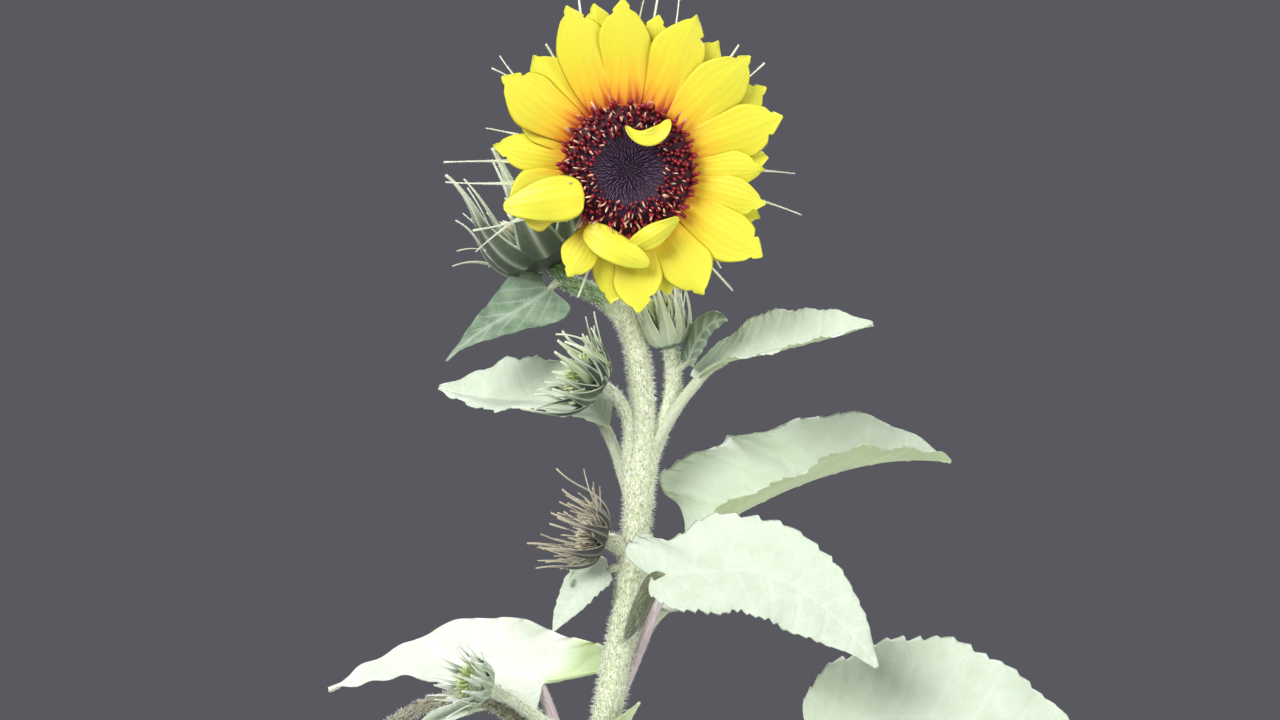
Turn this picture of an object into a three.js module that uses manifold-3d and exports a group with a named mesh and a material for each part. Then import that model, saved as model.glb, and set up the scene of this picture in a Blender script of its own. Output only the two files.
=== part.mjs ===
// A branching sunflower plant, rooted in the ground, in millimetres with +Z up.
// The origin is the centre of the flat cut under the main stem, and the open flower looks along -Y.
// Bearings are angles about +Z, counted from +X towards +Y, and rises are angles above the horizon, in degrees.
import * as THREE from "three";
import { mergeVertices } from "three/addons/utils/BufferGeometryUtils.js";
import Module from "manifold-3d";

// Touching pieces keep this much air between them, and slivers thinner than the second value are merged.
const GAP = 0.3;
const SLIVER = 0.12;

// What the bent foot of the stem has below this height is brought level with the ground.
const FOOT_CUT = 2;

// How many sides and rings, or columns and rows, the solids have.
const DETAIL = {
  stem: { sides: 10, rings: 30 }, branch: { sides: 8, rings: 8 }, stalk: { sides: 5, rings: 6 },
  leaf: { along: 6, across: 4 }, smallLeaf: { along: 6, across: 2 }, bract: { along: 3, across: 1 },
  ray: { along: 5, across: 2 }, cup: 14, ring: 20, disc: 24, bud: 7, lineStations: 60,
};

// The main stem: places that its axis passes, each with the stem's radius there.
const STEM_AXIS = [
  [0, 0, 0, 14], [0, 0, 30, 12.2], [3, 2, 260, 10.6], [12, 6, 520, 9.4], [27, 11, 740, 8],
  [38, 14, 805, 7.4], [45.8, 14.6, 848, 7.2], [50.4, 15, 890, 7.2], [53.2, 15, 922, 7.2], [53.6, 15.4, 943, 6],
  [51, 16.4, 975, 5.8], [46, 17.6, 1000, 6], [44, 18, 1028, 6], [45, 12, 1056, 5.8], [46.5, -2, 1072.5, 5.8],
  [46.5, -13.6, 1072, 6],
];

// The open flower: the middle of its disc's front, how far it nods, and its own sizes.
const FLOWER_AT = [46.5, -30, 1070];
const FLOWER_NOD = 6;
const DISC = { radius: 32, bossRadius: 21, rise: 5.4 };
const CUP = { back: 15.9, front: 3, backRadius: 7.4, rimRadius: 30 };
const RAY = { foot: 30, thickness: 0.7, twist: 8, fold: -5 };
const RAY_RING = { inner: DISC.bossRadius + GAP + 0.1, outer: 33, depth: 1 };
const BRACT = { foot: 22, halfWidth: 4.2, thickness: 1 };

// Each ray floret of the open flower: its angle round the disc, its reach from the disc's middle,
// its half width, and how far its middle and its tip lean towards the viewer.
const FRONT_RAYS = [
  [111, 86, 11.5, 10, 0], [92, 84, 11, 10, 2], [66, 83, 11.5, 11, 0], [43, 82, 11.5, 11, 4], [19, 81, 11, 10, 0],
  [-8, 68, 10, 14, 6], [-33, 80, 11, 14, 4], [-59, 73, 11, 12, 0], [-86, 72, 10.5, 12, -6],
  [-120, 62, 8, 16, 10], [-163, 64, 13, 16, 30], [144, 78, 11.5, 12, 2],
];
const BACK_RAYS = [
  [102, 84, 11.5, -1, -6], [79, 78, 11, -1, -6], [55, 78, 11, -1, -6], [31, 80, 11, -1, -6], [5, 70, 10, 2, 0],
  [-20, 70, 10, 2, 0], [-46, 62, 10, 0, 0], [-72, 66, 10, 0, -8], [-98, 68, 10, 0, -8],
  [170, 69, 7.5, 4, 0], [153, 62, 8.5, 2, 0], [130, 74, 11.5, 0, -4],
];
// Each long green bract of the open flower: its angle, its reach, and the rise of its whip-like tip.
const FLOWER_BRACTS = [
  [174, 95, 6], [160, 76, -4], [147, 90, 2], [136, 87, 0], [125, 76, 4], [112, 91, 2], [101, 72, -4], [91, 89, 4],
  [81, 88, -2], [67, 93, 3], [53, 82, 0], [44, 84, 4], [36, 90, -4], [27, 77, 2], [14, 72, -4], [2, 86, 5],
  [-10, 91, 0], [-25, 68, -3], [-40, 69, 2], [-50, 82, -2], [-62, 70, 3], [-78, 62, 0], [-95, 62, 3],
  [-113, 70, 0], [-152, 84, 6], [-164, 89, 2], [-177, 95, -1],
];

// Leaves on the main stem in view: where the stalk leaves the stem's axis, the stalk's rises over its
// stretches, and the blade's own. A leaf's halves fold up about its midrib, and a roll tips it sideways.
const LEAF_THICKNESS = { share: 0.011, least: 0.9 };
const SMALL_LEAF = 80;
const UPPER_LEAVES = {
  right_upper: {
    height: 917, bearing: -10, rises: [62, 57, 64], stretches: [42, 14], stalk: 2.9,
    blade: { rises: [46, 12, 13, 18], stretches: [20, 36, 42], halfWidth: 24, fold: 30, roll: 32, lobe: 0.2 },
  },
  left_upper: {
    height: 888, bearing: 159, rises: [74, 70], stretches: [54], stalk: 3,
    blade: { rises: [52, 8, 0, 14], stretches: [24, 32, 50], halfWidth: 28, fold: 29, roll: -38, lobe: 0.2 },
  },
  right_large: {
    height: 781, bearing: 13, rises: [62, 68, 64], stretches: [52, 56], stalk: 2.7,
    blade: { rises: [26, 24, 10, -8], stretches: [50, 60, 50], halfWidth: 44, fold: 41, roll: 19, lobe: 1.3 },
  },
  right_front: {
    height: 824, bearing: -72, rises: [28, 50], stretches: [70], stalk: 3.7,
    blade: {
      bearing: -18, rises: [10, 4, -30, -56], stretches: [40, 35, 52], halfWidth: 32, fold: 3, roll: 58, lobe: 1.5,
    },
  },
  left_large: {
    height: 740, bearing: 176, rises: [56, 74, 76], stretches: [50, 20], stalk: 3,
    blade: {
      rises: [-4, 6, -6, -18], stretches: [36, 40, 44], halfWidth: 42, fold: 62, roll: -6, lobe: 0.9,
    },
  },
  left_small: {
    height: 866, bearing: 196, rises: [0, -14], stretches: [14], stalk: 1.7,
    blade: { rises: [-10, -48, -62], stretches: [14, 30], halfWidth: 11, fold: 10, roll: -56, lobe: 0.4 },
  },
  right_lower: {
    height: 690, bearing: -14, rises: [46, 38, 34], stretches: [80, 74], stalk: 3.2,
    blade: { rises: [20, 0, -30], stretches: [60, 85], halfWidth: 46, fold: 12, roll: 38, lobe: 0.9 },
  },
  front_small: {
    height: 712, bearing: -36, rises: [58, 70], stretches: [40], stalk: 2,
    blade: { rises: [66, 58], stretches: [56], halfWidth: 14, fold: 24, roll: 0, lobe: 0.4 },
  },
  back_upper: {
    height: 795, bearing: 52, rises: [50, 38], stretches: [62], stalk: 2.7,
    blade: { rises: [10, 0, -24], stretches: [44, 66], halfWidth: 36, fold: 16, roll: 0, lobe: 0.8 },
  },
};
// The leaves below the view stand up the stem one after another, a golden angle apart.
const LOWER_LEAVES = {
  count: 12, lowest: 118, highest: 652, firstBearing: 275, turn: 137.5, stalks: [68, 100], blades: [132, 188],
};

// Side branches on the main stem, from their height on its axis, each with the bud that ends it: the
// core's radius and height, then how its bracts stand round it.
const BRANCHES = {
  right: {
    height: 913, bearing: 10, rises: [66, 66, 76, 104], stretches: [26, 16, 30], radii: [4.4, 4.1],
    core: [9.5, 24], bracts: { count: 9, length: 32, halfWidth: 4.4, rises: [40, 86, 86] },
  },
  left: {
    height: 893, bearing: 196, rises: [68, 84, 94, 70, 28], stretches: [16, 24, 14, 20], radii: [3.8, 3.4],
    core: [11, 17], bracts: { count: 10, length: 34, halfWidth: 4.2, rises: [24, 64, 52] },
  },
  behind: {
    height: 990, bearing: 160, rises: [58, 42, 16, 66], stretches: [18, 22, 18], radii: [4.8, 4.8],
    core: [23, 27], bracts: { count: 11, length: 56, halfWidth: 6.6, rises: [12, 74, 38] },
  },
  short: {
    height: 872, bearing: 190, rises: [38, 18], stretches: [17], radii: [4.4, 4],
    core: [9, 12], bracts: { count: 11, length: 31, halfWidth: 2.2, rises: [30, 56, 60] },
  },
  lower_left: {
    height: 762, bearing: 213, rises: [46, 34, 38, 24], stretches: [30, 30, 22], radii: [3.4, 2.9],
    core: [9, 13], bracts: { count: 9, length: 27, halfWidth: 3.4, rises: [30, 74, 60] },
  },
  arching: {
    height: 748, bearing: 193, rises: [52, 37, 28, -14, -50], stretches: [55, 18, 28, 48], radii: [4.2, 3],
    core: [9, 14], bracts: { count: 8, length: 28, halfWidth: 4, rises: [30, 80, 76] },
  },
  back_left: {
    height: 610, bearing: 118, rises: [52, 70, 76], stretches: [60, 75], radii: [4.6, 3.2],
    core: [9, 15], bracts: { count: 8, length: 26, halfWidth: 4, rises: [40, 88, 84] },
  },
  back_right: {
    height: 552, bearing: 52, rises: [50, 68, 80], stretches: [60, 70], radii: [4.6, 3.2],
    core: [10, 15], bracts: { count: 8, length: 28, halfWidth: 4, rises: [36, 80, 70] },
  },
};
const BUD_BRACT_THICKNESS = 0.9;

// Small leaves on the side branches: how far along the branch they stand, then as above.
const BRANCH_LEAVES = {
  right_bract: {
    branch: "right", share: 0.82, bearing: -44, rises: [16, 40], stretches: [12], stalk: 1.3,
    blade: { rises: [66, 46, -6], stretches: [16, 16], halfWidth: 9, fold: 6, roll: 66, lobe: 0.4 },
  },
  behind_bract: {
    branch: "behind", share: 0.88, bearing: 200, rises: [-40, -44], stretches: [11], stalk: 1.6,
    blade: { rises: [-34, -28, -46], stretches: [32, 36], halfWidth: 20, fold: 8, roll: -56, lobe: 0.2 },
  },
  arching_bract: {
    branch: "arching", share: 0.5, bearing: 178, rises: [-30, -10], stretches: [12], stalk: 1.3,
    blade: { rises: [-10, -20, -50], stretches: [14, 22], halfWidth: 10, fold: 14, roll: -20, lobe: 0.4 },
  },
  back_left_bract: {
    branch: "back_left", share: 0.55, bearing: 150, rises: [50, 34], stretches: [22], stalk: 1.5,
    blade: { rises: [24, 0, -20], stretches: [30, 30], halfWidth: 17, fold: 20, roll: 0, lobe: 0.5 },
  },
  back_right_bract: {
    branch: "back_right", share: 0.5, bearing: 20, rises: [50, 34], stretches: [22], stalk: 1.5,
    blade: { rises: [24, 0, -20], stretches: [30, 30], halfWidth: 17, fold: 20, roll: 0, lobe: 0.5 },
  },
};

const wasm = await Module();
wasm.setup();
const { degToRad, lerp, clamp } = THREE.MathUtils;

const finish = (color, roughness) => new THREE.MeshStandardMaterial({ color, roughness, metalness: 0 });
const STEM_GREEN = finish(0xc3cf9c, 0.75);
const LEAF_GREEN = finish(0xcfdcc4, 0.7);
const BUD_GREEN = finish(0x8fa878, 0.75);
const RAY_YELLOW = finish(0xe6dc28, 0.6);
const DISC_BROWN = finish(0x3c1426, 0.85);

// A closed geometry as a solid for joining and cutting.
function solidOf(geometry) {
  const bare = geometry.clone();
  for (const name of Object.keys(bare.attributes)) if (name !== "position") bare.deleteAttribute(name);
  const merged = mergeVertices(bare, 1e-4);
  return new wasm.Manifold(
    new wasm.Mesh({
      numProp: 3,
      vertProperties: new Float32Array(merged.attributes.position.array),
      triVerts: new Uint32Array(merged.index.array),
    }),
  );
}

// A solid as a named mesh of the scene graph.
function meshOf(name, solid, material) {
  const { vertProperties, triVerts } = solid.getMesh();
  const geometry = new THREE.BufferGeometry();
  geometry.setAttribute("position", new THREE.BufferAttribute(new Float32Array(vertProperties), 3));
  geometry.setIndex(new THREE.BufferAttribute(new Uint32Array(triVerts), 1));
  geometry.computeVertexNormals();
  const mesh = new THREE.Mesh(geometry, material);
  mesh.name = name;
  return mesh;
}

// The largest body of a solid without the slivers and scraps that joining and cutting leave.
function tidied(solid) {
  const bodies = solid.simplify(SLIVER).decompose();
  return bodies.reduce((best, body) => (body.volume() > best.volume() ? body : best));
}

// A line that grows from its foot: its rise turns evenly from each value to the next over its stretches.
class GrowingLine extends THREE.Curve {
  constructor({ foot, bearing, swing = 0, rises, stretches }) {
    super();
    this.total = stretches.reduce((sum, stretch) => sum + stretch, 0);
    this.stations = [];
    this.step = this.total / DETAIL.lineStations;
    const at = new THREE.Vector3(...foot);
    for (let s = 0; s <= this.total + this.step / 2; s += this.step) {
      const azimuth = degToRad(bearing + (swing * s) / this.total);
      const rise = this.riseAt(s + this.step / 2, rises, stretches);
      const level = new THREE.Vector3(Math.cos(azimuth), Math.sin(azimuth), 0);
      const tangent = level.clone().multiplyScalar(Math.cos(rise)).setZ(Math.sin(rise));
      const side = new THREE.Vector3(-level.y, level.x, 0);
      this.stations.push({ at: at.clone(), tangent, side, normal: tangent.clone().cross(side) });
      at.addScaledVector(tangent, this.step);
    }
  }

  riseAt(s, rises, stretches) {
    let [start, index] = [0, 0];
    while (index < stretches.length - 1 && s > start + stretches[index]) start += stretches[index++];
    return degToRad(lerp(rises[index], rises[index + 1], clamp((s - start) / stretches[index], 0, 1)));
  }

  // The place and frame at a distance along the line, which runs on straight past both ends.
  station(s) {
    const index = clamp(Math.floor(s / this.step), 0, this.stations.length - 1);
    const { at, tangent, side, normal } = this.stations[index];
    return { at: at.clone().addScaledVector(tangent, s - index * this.step), tangent, side, normal };
  }

  getPoint(t, target = new THREE.Vector3()) {
    return target.copy(this.station(t * this.total).at);
  }

  getPointAt(share, target) {
    return this.getPoint(share, target);
  }

  getTangentAt(share, target = new THREE.Vector3()) {
    return target.copy(this.station(share * this.total).tangent);
  }
}

// Bends a closed unit cylinder along a line: each ring keeps its share of the way and takes its own radius.
function limb(line, radiusAt, { sides, rings }) {
  const geometry = new THREE.CylinderGeometry(1, 1, 1, sides, rings);
  const position = geometry.attributes.position;
  const frames = line.computeFrenetFrames(rings);
  for (let i = 0; i < position.count; i++) {
    const ring = Math.round((position.getY(i) + 0.5) * rings);
    const place = line.getPointAt(ring / rings);
    const radius = radiusAt(ring / rings);
    place.addScaledVector(frames.normals[ring], position.getX(i) * radius);
    place.addScaledVector(frames.binormals[ring], -position.getZ(i) * radius);
    position.setXYZ(i, place.x, place.y, place.z);
  }
  return geometry;
}

// A turned solid about +Z, or about a frame's own +Z, from a profile of radii and heights.
function turned(profile, sides, frame = new THREE.Matrix4()) {
  const points = profile.map(([radius, height]) => new THREE.Vector2(radius, height));
  return solidOf(new THREE.LatheGeometry(points, sides).rotateX(Math.PI / 2).applyMatrix4(frame));
}

// Folds a thin closed box into a blade along a line: its halves fold up about the midrib, its margins
// curl down, its roll grows by its twist, and its lobes reach straight back.
function blade(line, shape, { along, across }) {
  const { halfWidth, outline, thickness, fold = 0, roll = 0, twist = 0, curl = 0, lobe = 0 } = shape;
  const bend = degToRad(fold);
  const surface = (t, v) => {
    const width = halfWidth * outline(t);
    const reach = Math.abs(v);
    const { at, side, normal } = line.station(t * line.total - lobe * width * reach * (1 - t) ** 2);
    const lean = degToRad(roll + twist * t);
    const level = Math.cos(bend) * width * v;
    const lift = (Math.sin(bend) * reach - curl * reach ** 2) * width;
    return at
      .addScaledVector(side, level * Math.cos(lean) - lift * Math.sin(lean))
      .addScaledVector(normal, level * Math.sin(lean) + lift * Math.cos(lean));
  };
  const geometry = new THREE.BoxGeometry(1, 2, 1, along, across, 1);
  const position = geometry.attributes.position;
  const nudge = 0.01;
  for (let i = 0; i < position.count; i++) {
    const [t, v, face] = [position.getX(i) + 0.5, position.getY(i), position.getZ(i)];
    const alongIt = surface(Math.min(1, t + nudge), v).sub(surface(Math.max(0, t - nudge), v));
    const acrossIt = surface(t, Math.min(1, v + nudge)).sub(surface(t, Math.max(-1, v - nudge)));
    const place = surface(t, v).addScaledVector(alongIt.cross(acrossIt).normalize(), face * thickness);
    position.setXYZ(i, place.x, place.y, place.z);
  }
  return solidOf(geometry);
}

// Outlines as a share of the half width, from the foot at 0 to the tip at 1.
const leafOutline = (t) => 0.03 + 2.66 * t ** 0.5 * (1 - t) ** 1.15;
const rayOutline = (t) => 0.05 + (1 - 0.6 * (1 - t) ** 3) * (1 - t ** 6) ** 0.6;
const bractOutline = (t) => 0.15 + Math.exp(-((t / 0.46) ** 2)) * (1 - t) ** 0.3;

// The main stem, a leaning and tapering limb with a flared foot, a flat cut at ground level and a flat
// end just behind the flower's cup.
const stemLine = new THREE.CatmullRomCurve3(
  STEM_AXIS.map(([x, y, z]) => new THREE.Vector3(x, y, z)),
  false,
  "centripetal",
);
stemLine.arcLengthDivisions = 400;

// The flower's own frame: +Z along its axis towards the viewer, +X to the right.
const flowerAxis = new THREE.Vector3(0, -Math.cos(degToRad(FLOWER_NOD)), -Math.sin(degToRad(FLOWER_NOD)));
const flowerRight = new THREE.Vector3(1, 0, 0);
const flowerFrame = new THREE.Matrix4()
  .makeBasis(flowerRight, flowerAxis.clone().cross(flowerRight), flowerAxis)
  .setPosition(...FLOWER_AT);

function stemRadius(share) {
  const spot = stemLine.getUtoTmapping(share) * (STEM_AXIS.length - 1);
  const index = Math.min(STEM_AXIS.length - 2, Math.floor(spot));
  return lerp(STEM_AXIS[index][3], STEM_AXIS[index + 1][3], spot - index);
}

// The stem grown by an extra, as seen from a frame.
function stemSolid(extra, seenFrom = new THREE.Matrix4()) {
  const geometry = limb(stemLine, (share) => stemRadius(share) + extra, DETAIL.stem);
  const position = geometry.attributes.position;
  for (let i = 0; i < position.count; i++) if (position.getZ(i) < FOOT_CUT) position.setZ(i, 0);
  const toFrame = seenFrom.clone().invert();
  const behindCup = -CUP.back - GAP;
  const aheadOfIt = [[0, behindCup], [CUP.rimRadius, behindCup], [CUP.rimRadius, 0], [0, 0]];
  const ahead = turned(aheadOfIt, DETAIL.branch.sides, toFrame.clone().multiply(flowerFrame));
  return solidOf(geometry.applyMatrix4(toFrame)).subtract(ahead);
}

// The stem's axis at a height below the neck, found by halving.
function stemAxisAt(height) {
  const halvings = 30;
  let [low, high] = [0, 0.9];
  for (let i = 0; i < halvings; i++) {
    const middle = (low + high) / 2;
    if (stemLine.getPointAt(middle).z < height) low = middle;
    else high = middle;
  }
  return stemLine.getPointAt(low).toArray();
}

// A side branch, one tapering limb.
function branchSolid({ line, radii: [foot, tip] }, extra) {
  return solidOf(limb(line, (share) => lerp(foot, tip, share) + extra, DETAIL.branch));
}

// A leaf: its stalk runs on under the foot of its blade as the midrib, and both are one piece.
function leafSolid({ foot, bearing, swing, rises, stretches, stalk, blade: plate }, extra = 0) {
  const stalkLine = new GrowingLine({ foot, bearing, rises, stretches });
  const plateLine = new GrowingLine({ bearing, swing, ...plate, foot: stalkLine.getPoint(1).toArray() });
  const path = [0, 0.25, 0.5, 0.75].map((share) => stalkLine.getPoint(share));
  const drop = 0.6 * stalk;
  const lean = degToRad(plate.roll);
  for (const share of [0.01, 0.2]) {
    const { at, side, normal } = plateLine.station(plateLine.total * share);
    at.addScaledVector(normal, -drop * Math.cos(lean)).addScaledVector(side, drop * Math.sin(lean));
    path.push(at);
  }
  const spine = new THREE.CatmullRomCurve3(path, false, "centripetal");
  const radiusAt = (share) => stalk * (1.1 - 0.65 * share ** 3) + extra;
  const thickness = Math.max(LEAF_THICKNESS.least, plateLine.total * LEAF_THICKNESS.share) + 2 * extra;
  const detail = plateLine.total > SMALL_LEAF ? DETAIL.leaf : DETAIL.smallLeaf;
  const plateSolid = blade(plateLine, { ...plate, outline: leafOutline, thickness }, detail);
  return plateSolid.add(solidOf(limb(spine, radiusAt, DETAIL.stalk)));
}

// A bract that starts inside a core, at an angle round it, and ends in a long whip.
function bractSolid({ angle, foot, height, rises, stretches, swing, halfWidth, thickness }) {
  const line = new GrowingLine({
    foot: [foot * Math.cos(degToRad(angle)), foot * Math.sin(degToRad(angle)), height],
    bearing: angle,
    swing,
    rises,
    stretches,
  });
  return blade(line, { halfWidth, thickness, outline: bractOutline, fold: 12 }, DETAIL.bract);
}

// A bud stands along its own +Z: a round core in a whorl of bracts. Sines of their number vary them.
function budSolid({ core: [radius, height], bracts: { count, length, rises, halfWidth }, radii: [, foot] }) {
  const core = turned(
    [
      [0, 0], [foot, 0], [radius * 0.86, height * 0.2], [radius, height * 0.5], [radius * 0.8, height * 0.85],
      [0, height],
    ],
    DETAIL.bud,
  );
  return Array.from({ length: count }, (_, i) => i).reduce((bud, i) => {
    const raise = 7 * Math.sin(1.7 * i * i + 2);
    const stretch = length * (0.55 + 0.1 * Math.sin(2.4 * i * i + 1));
    return bud.add(
      bractSolid({
        angle: (360 * i) / count,
        foot: radius * 0.5,
        height: height * 0.24,
        swing: 16 * Math.sin(3.1 * i + 0.5),
        rises: [rises[0], rises[1] + raise, rises[2] + 2 * raise],
        stretches: [length * 0.45, stretch],
        halfWidth,
        thickness: BUD_BRACT_THICKNESS,
      }),
    );
  }, core);
}

// The green cup behind the disc, with the long bracts that stand out between the rays.
function cupSolid() {
  const { back, front, backRadius, rimRadius } = CUP;
  const core = turned(
    [
      [0, -back], [backRadius, -back], [17, 3.5 - back], [26, 8 - back], [rimRadius, -front - 1.2],
      [rimRadius, -front], [0, -front],
    ],
    DETAIL.cup,
  );
  return FLOWER_BRACTS.reduce((cup, [angle, reach, tip], i) => {
    const stretch = (reach - BRACT.foot) / 2;
    return cup.add(
      bractSolid({
        ...BRACT,
        angle,
        height: -front - 6 - 1.4 * (i % 2),
        swing: 10 * Math.sin(2.3 * i),
        rises: [-10, -6, tip],
        stretches: [stretch, stretch],
      }),
    );
  }, core);
}

// One whorl of ray florets, fused at the foot to a thin ring that lies on the cup's rim.
function raySolid(rays, level) {
  const { foot, thickness, twist, fold } = RAY;
  const { inner, outer, depth } = RAY_RING;
  const ring = turned(
    [[inner, level], [outer, level], [outer, level + depth], [inner, level + depth], [inner, level]],
    DETAIL.ring,
  );
  return rays.reduce((whorl, [angle, reach, halfWidth, lean, tipLean]) => {
    const line = new GrowingLine({
      foot: [foot * Math.cos(degToRad(angle)), foot * Math.sin(degToRad(angle)), level + depth / 2],
      bearing: angle,
      rises: [0, lean, tipLean],
      stretches: [(reach - foot) / 2, (reach - foot) / 2],
    });
    return whorl.add(blade(line, { halfWidth, thickness, twist, fold, outline: rayOutline }, DETAIL.ray));
  }, ring);
}

// The dark disc: a low dome with a dip in its middle, and a boss behind that fills the rings.
function discSolid() {
  const { radius, bossRadius, rise } = DISC;
  const [back, under] = [GAP - CUP.front, 0.4];
  const profile = [
    [0, back], [bossRadius, back], [bossRadius, under], [radius, under], [radius - 0.5, 0.55 * rise],
    [0.8 * radius, rise], [0.53 * radius, 0.93 * rise], [0.28 * radius, 0.55 * rise], [0, 0.37 * rise],
  ];
  return turned(profile, DETAIL.disc);
}

const plant = new THREE.Group();
const stem = stemSolid(0);
const stemAndGap = stemSolid(GAP);
plant.add(meshOf("main_stem", stem, STEM_GREEN));

// Leaves on the stem come first, and the side branches are cut clear of the stalks that they grow above.
const leaves = { ...UPPER_LEAVES };
for (let i = 0; i < LOWER_LEAVES.count; i++) {
  const { count, lowest, highest, firstBearing, turn, stalks, blades } = LOWER_LEAVES;
  const share = i / (count - 1);
  const vigour = Math.sin(Math.PI * (0.25 + 0.65 * share));
  const [stalkLength, length] = [lerp(...stalks, vigour), lerp(...blades, vigour)];
  leaves[`stem_${String(i + 1).padStart(2, "0")}`] = {
    height: lerp(lowest, highest, share),
    bearing: firstBearing + i * turn,
    rises: [lerp(30, 56, share), lerp(10, 40, share)],
    stretches: [stalkLength],
    stalk: 2.6 + 0.8 * vigour,
    blade: {
      swing: 12 * Math.sin(5 * i),
      rises: [lerp(-2, 24, share), lerp(-24, 0, share), lerp(-60, -34, share)],
      stretches: [length * 0.4, length * 0.6],
      halfWidth: length * 0.36,
      fold: 14 + 6 * Math.sin(2 * i),
      roll: 8 * Math.sin(3 * i + 1),
      curl: 0.12,
      lobe: 0.9,
    },
  };
}
const stalks = [];
for (const [name, leaf] of Object.entries(leaves)) {
  const placed = { ...leaf, foot: stemAxisAt(leaf.height) };
  stalks.push(leafSolid(placed, GAP));
  plant.add(meshOf(`leaf_${name}`, tidied(leafSolid(placed).subtract(stemAndGap)), LEAF_GREEN));
}

const branches = {};
for (const [name, branch] of Object.entries(BRANCHES)) {
  const line = new GrowingLine({ ...branch, foot: stemAxisAt(branch.height) });
  branches[name] = { ...branch, line };
  const clear = stalks.reduce((rest, stalk) => rest.subtract(stalk), branchSolid(branches[name], 0));
  plant.add(meshOf(`branch_${name}`, tidied(clear.subtract(stemAndGap)), STEM_GREEN));

  // The bud stands clear of its branch's flat tip, along the branch's own direction.
  const { at, tangent, side, normal } = line.station(line.total);
  const budFrame = new THREE.Matrix4().makeBasis(side, normal, tangent);
  budFrame.setPosition(at.addScaledVector(tangent, GAP));
  const bud = meshOf(`bud_${name}`, tidied(budSolid(branch).subtract(stemSolid(GAP, budFrame))), BUD_GREEN);
  bud.applyMatrix4(budFrame);
  plant.add(bud);
}

for (const [name, leaf] of Object.entries(BRANCH_LEAVES)) {
  const branch = branches[leaf.branch];
  const placed = { ...leaf, foot: branch.line.getPoint(leaf.share).toArray() };
  const clear = leafSolid(placed).subtract(branchSolid(branch, GAP)).subtract(stemAndGap);
  plant.add(meshOf(`leaf_${name}`, tidied(clear), LEAF_GREEN));
}

// The two whorls of rays lie one before the other between the cup and the disc.
const backLevel = GAP - CUP.front;
const frontLevel = backLevel + RAY_RING.depth + GAP + 0.1;
const flower = new THREE.Group();
flower.applyMatrix4(flowerFrame);
flower.add(
  meshOf("flower_cup", tidied(cupSolid()), BUD_GREEN),
  meshOf("flower_rays_back", tidied(raySolid(BACK_RAYS, backLevel)), RAY_YELLOW),
  meshOf("flower_rays_front", tidied(raySolid(FRONT_RAYS, frontLevel)), RAY_YELLOW),
  meshOf("flower_disc", discSolid(), DISC_BROWN),
);
plant.add(flower);

export default plant;
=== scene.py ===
"""The looks of a branching sunflower plant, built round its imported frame.

Sizes are in millimetres and angles in degrees; the meshes are written in metres. Bearings are counted
about +Z from +X towards +Y, and rises above the horizon.
"""

import bpy
import numpy as np
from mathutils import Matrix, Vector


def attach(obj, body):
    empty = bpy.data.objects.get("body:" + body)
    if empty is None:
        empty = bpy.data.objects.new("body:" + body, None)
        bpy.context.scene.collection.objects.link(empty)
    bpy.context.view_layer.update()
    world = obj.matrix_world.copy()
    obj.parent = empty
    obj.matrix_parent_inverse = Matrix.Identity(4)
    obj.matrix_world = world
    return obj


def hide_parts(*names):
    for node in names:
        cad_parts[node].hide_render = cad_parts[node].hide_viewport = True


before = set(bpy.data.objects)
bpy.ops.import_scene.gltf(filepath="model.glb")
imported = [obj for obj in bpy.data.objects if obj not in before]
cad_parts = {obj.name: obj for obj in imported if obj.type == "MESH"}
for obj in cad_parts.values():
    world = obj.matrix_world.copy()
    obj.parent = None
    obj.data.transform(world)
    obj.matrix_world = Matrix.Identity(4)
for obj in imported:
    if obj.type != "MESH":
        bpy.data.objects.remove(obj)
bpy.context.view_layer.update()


# The main stem: one green stalk that leans, kinks above its side branches and thins to the flower's neck.
# Its skin is ridged along its length, flecked with pale dashes, and covered in stiff white hairs.
MM = 0.001
GAP = 0.3
UV_SCALE = 20 * MM
SIDEWAYS = (0, 1, 0)
STEM_AXIS = np.array(
    [
        (0, 0, 0, 14), (0, 0, 30, 12.2), (3, 2, 260, 10.6), (12, 6, 520, 9.4), (27, 11, 740, 8),
        (38, 14, 805, 7.4), (45.8, 14.6, 848, 7.2), (50.4, 15, 890, 7.2), (53.2, 15, 922, 7.2),
        (53.6, 15.4, 943, 6), (51, 16.4, 975, 5.8), (46, 17.6, 1000, 6), (44, 18, 1028, 6),
        (45, 12, 1056, 5.8), (46.5, -2, 1072.5, 5.8), (46.5, -13.6, 1072, 6),
    ]
)
STEM_SIDES = 72
STEM_RINGS = 900
STEM_RIDGES = 11
LEVELLED = 2
NECK_BEND = 1050
HAIRY = slice(20, -6)


def unit(vectors):
    """Each vector divided by its own length."""
    return vectors / np.maximum(np.linalg.norm(vectors, axis=-1, keepdims=True), 1e-9)


def turns(sides):
    """Even angles once round."""
    return 2 * np.pi * np.arange(sides) / sides


def run_of(path):
    """How far along a path each of its places is."""
    return np.r_[0, np.cumsum(np.linalg.norm(np.diff(path[:, :3], axis=0), axis=1))]


def read_off(at, run, columns):
    """Columns of numbers that belong to places along a run, read off at other distances."""
    return np.column_stack([np.interp(at, run, column) for column in columns.T])


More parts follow.
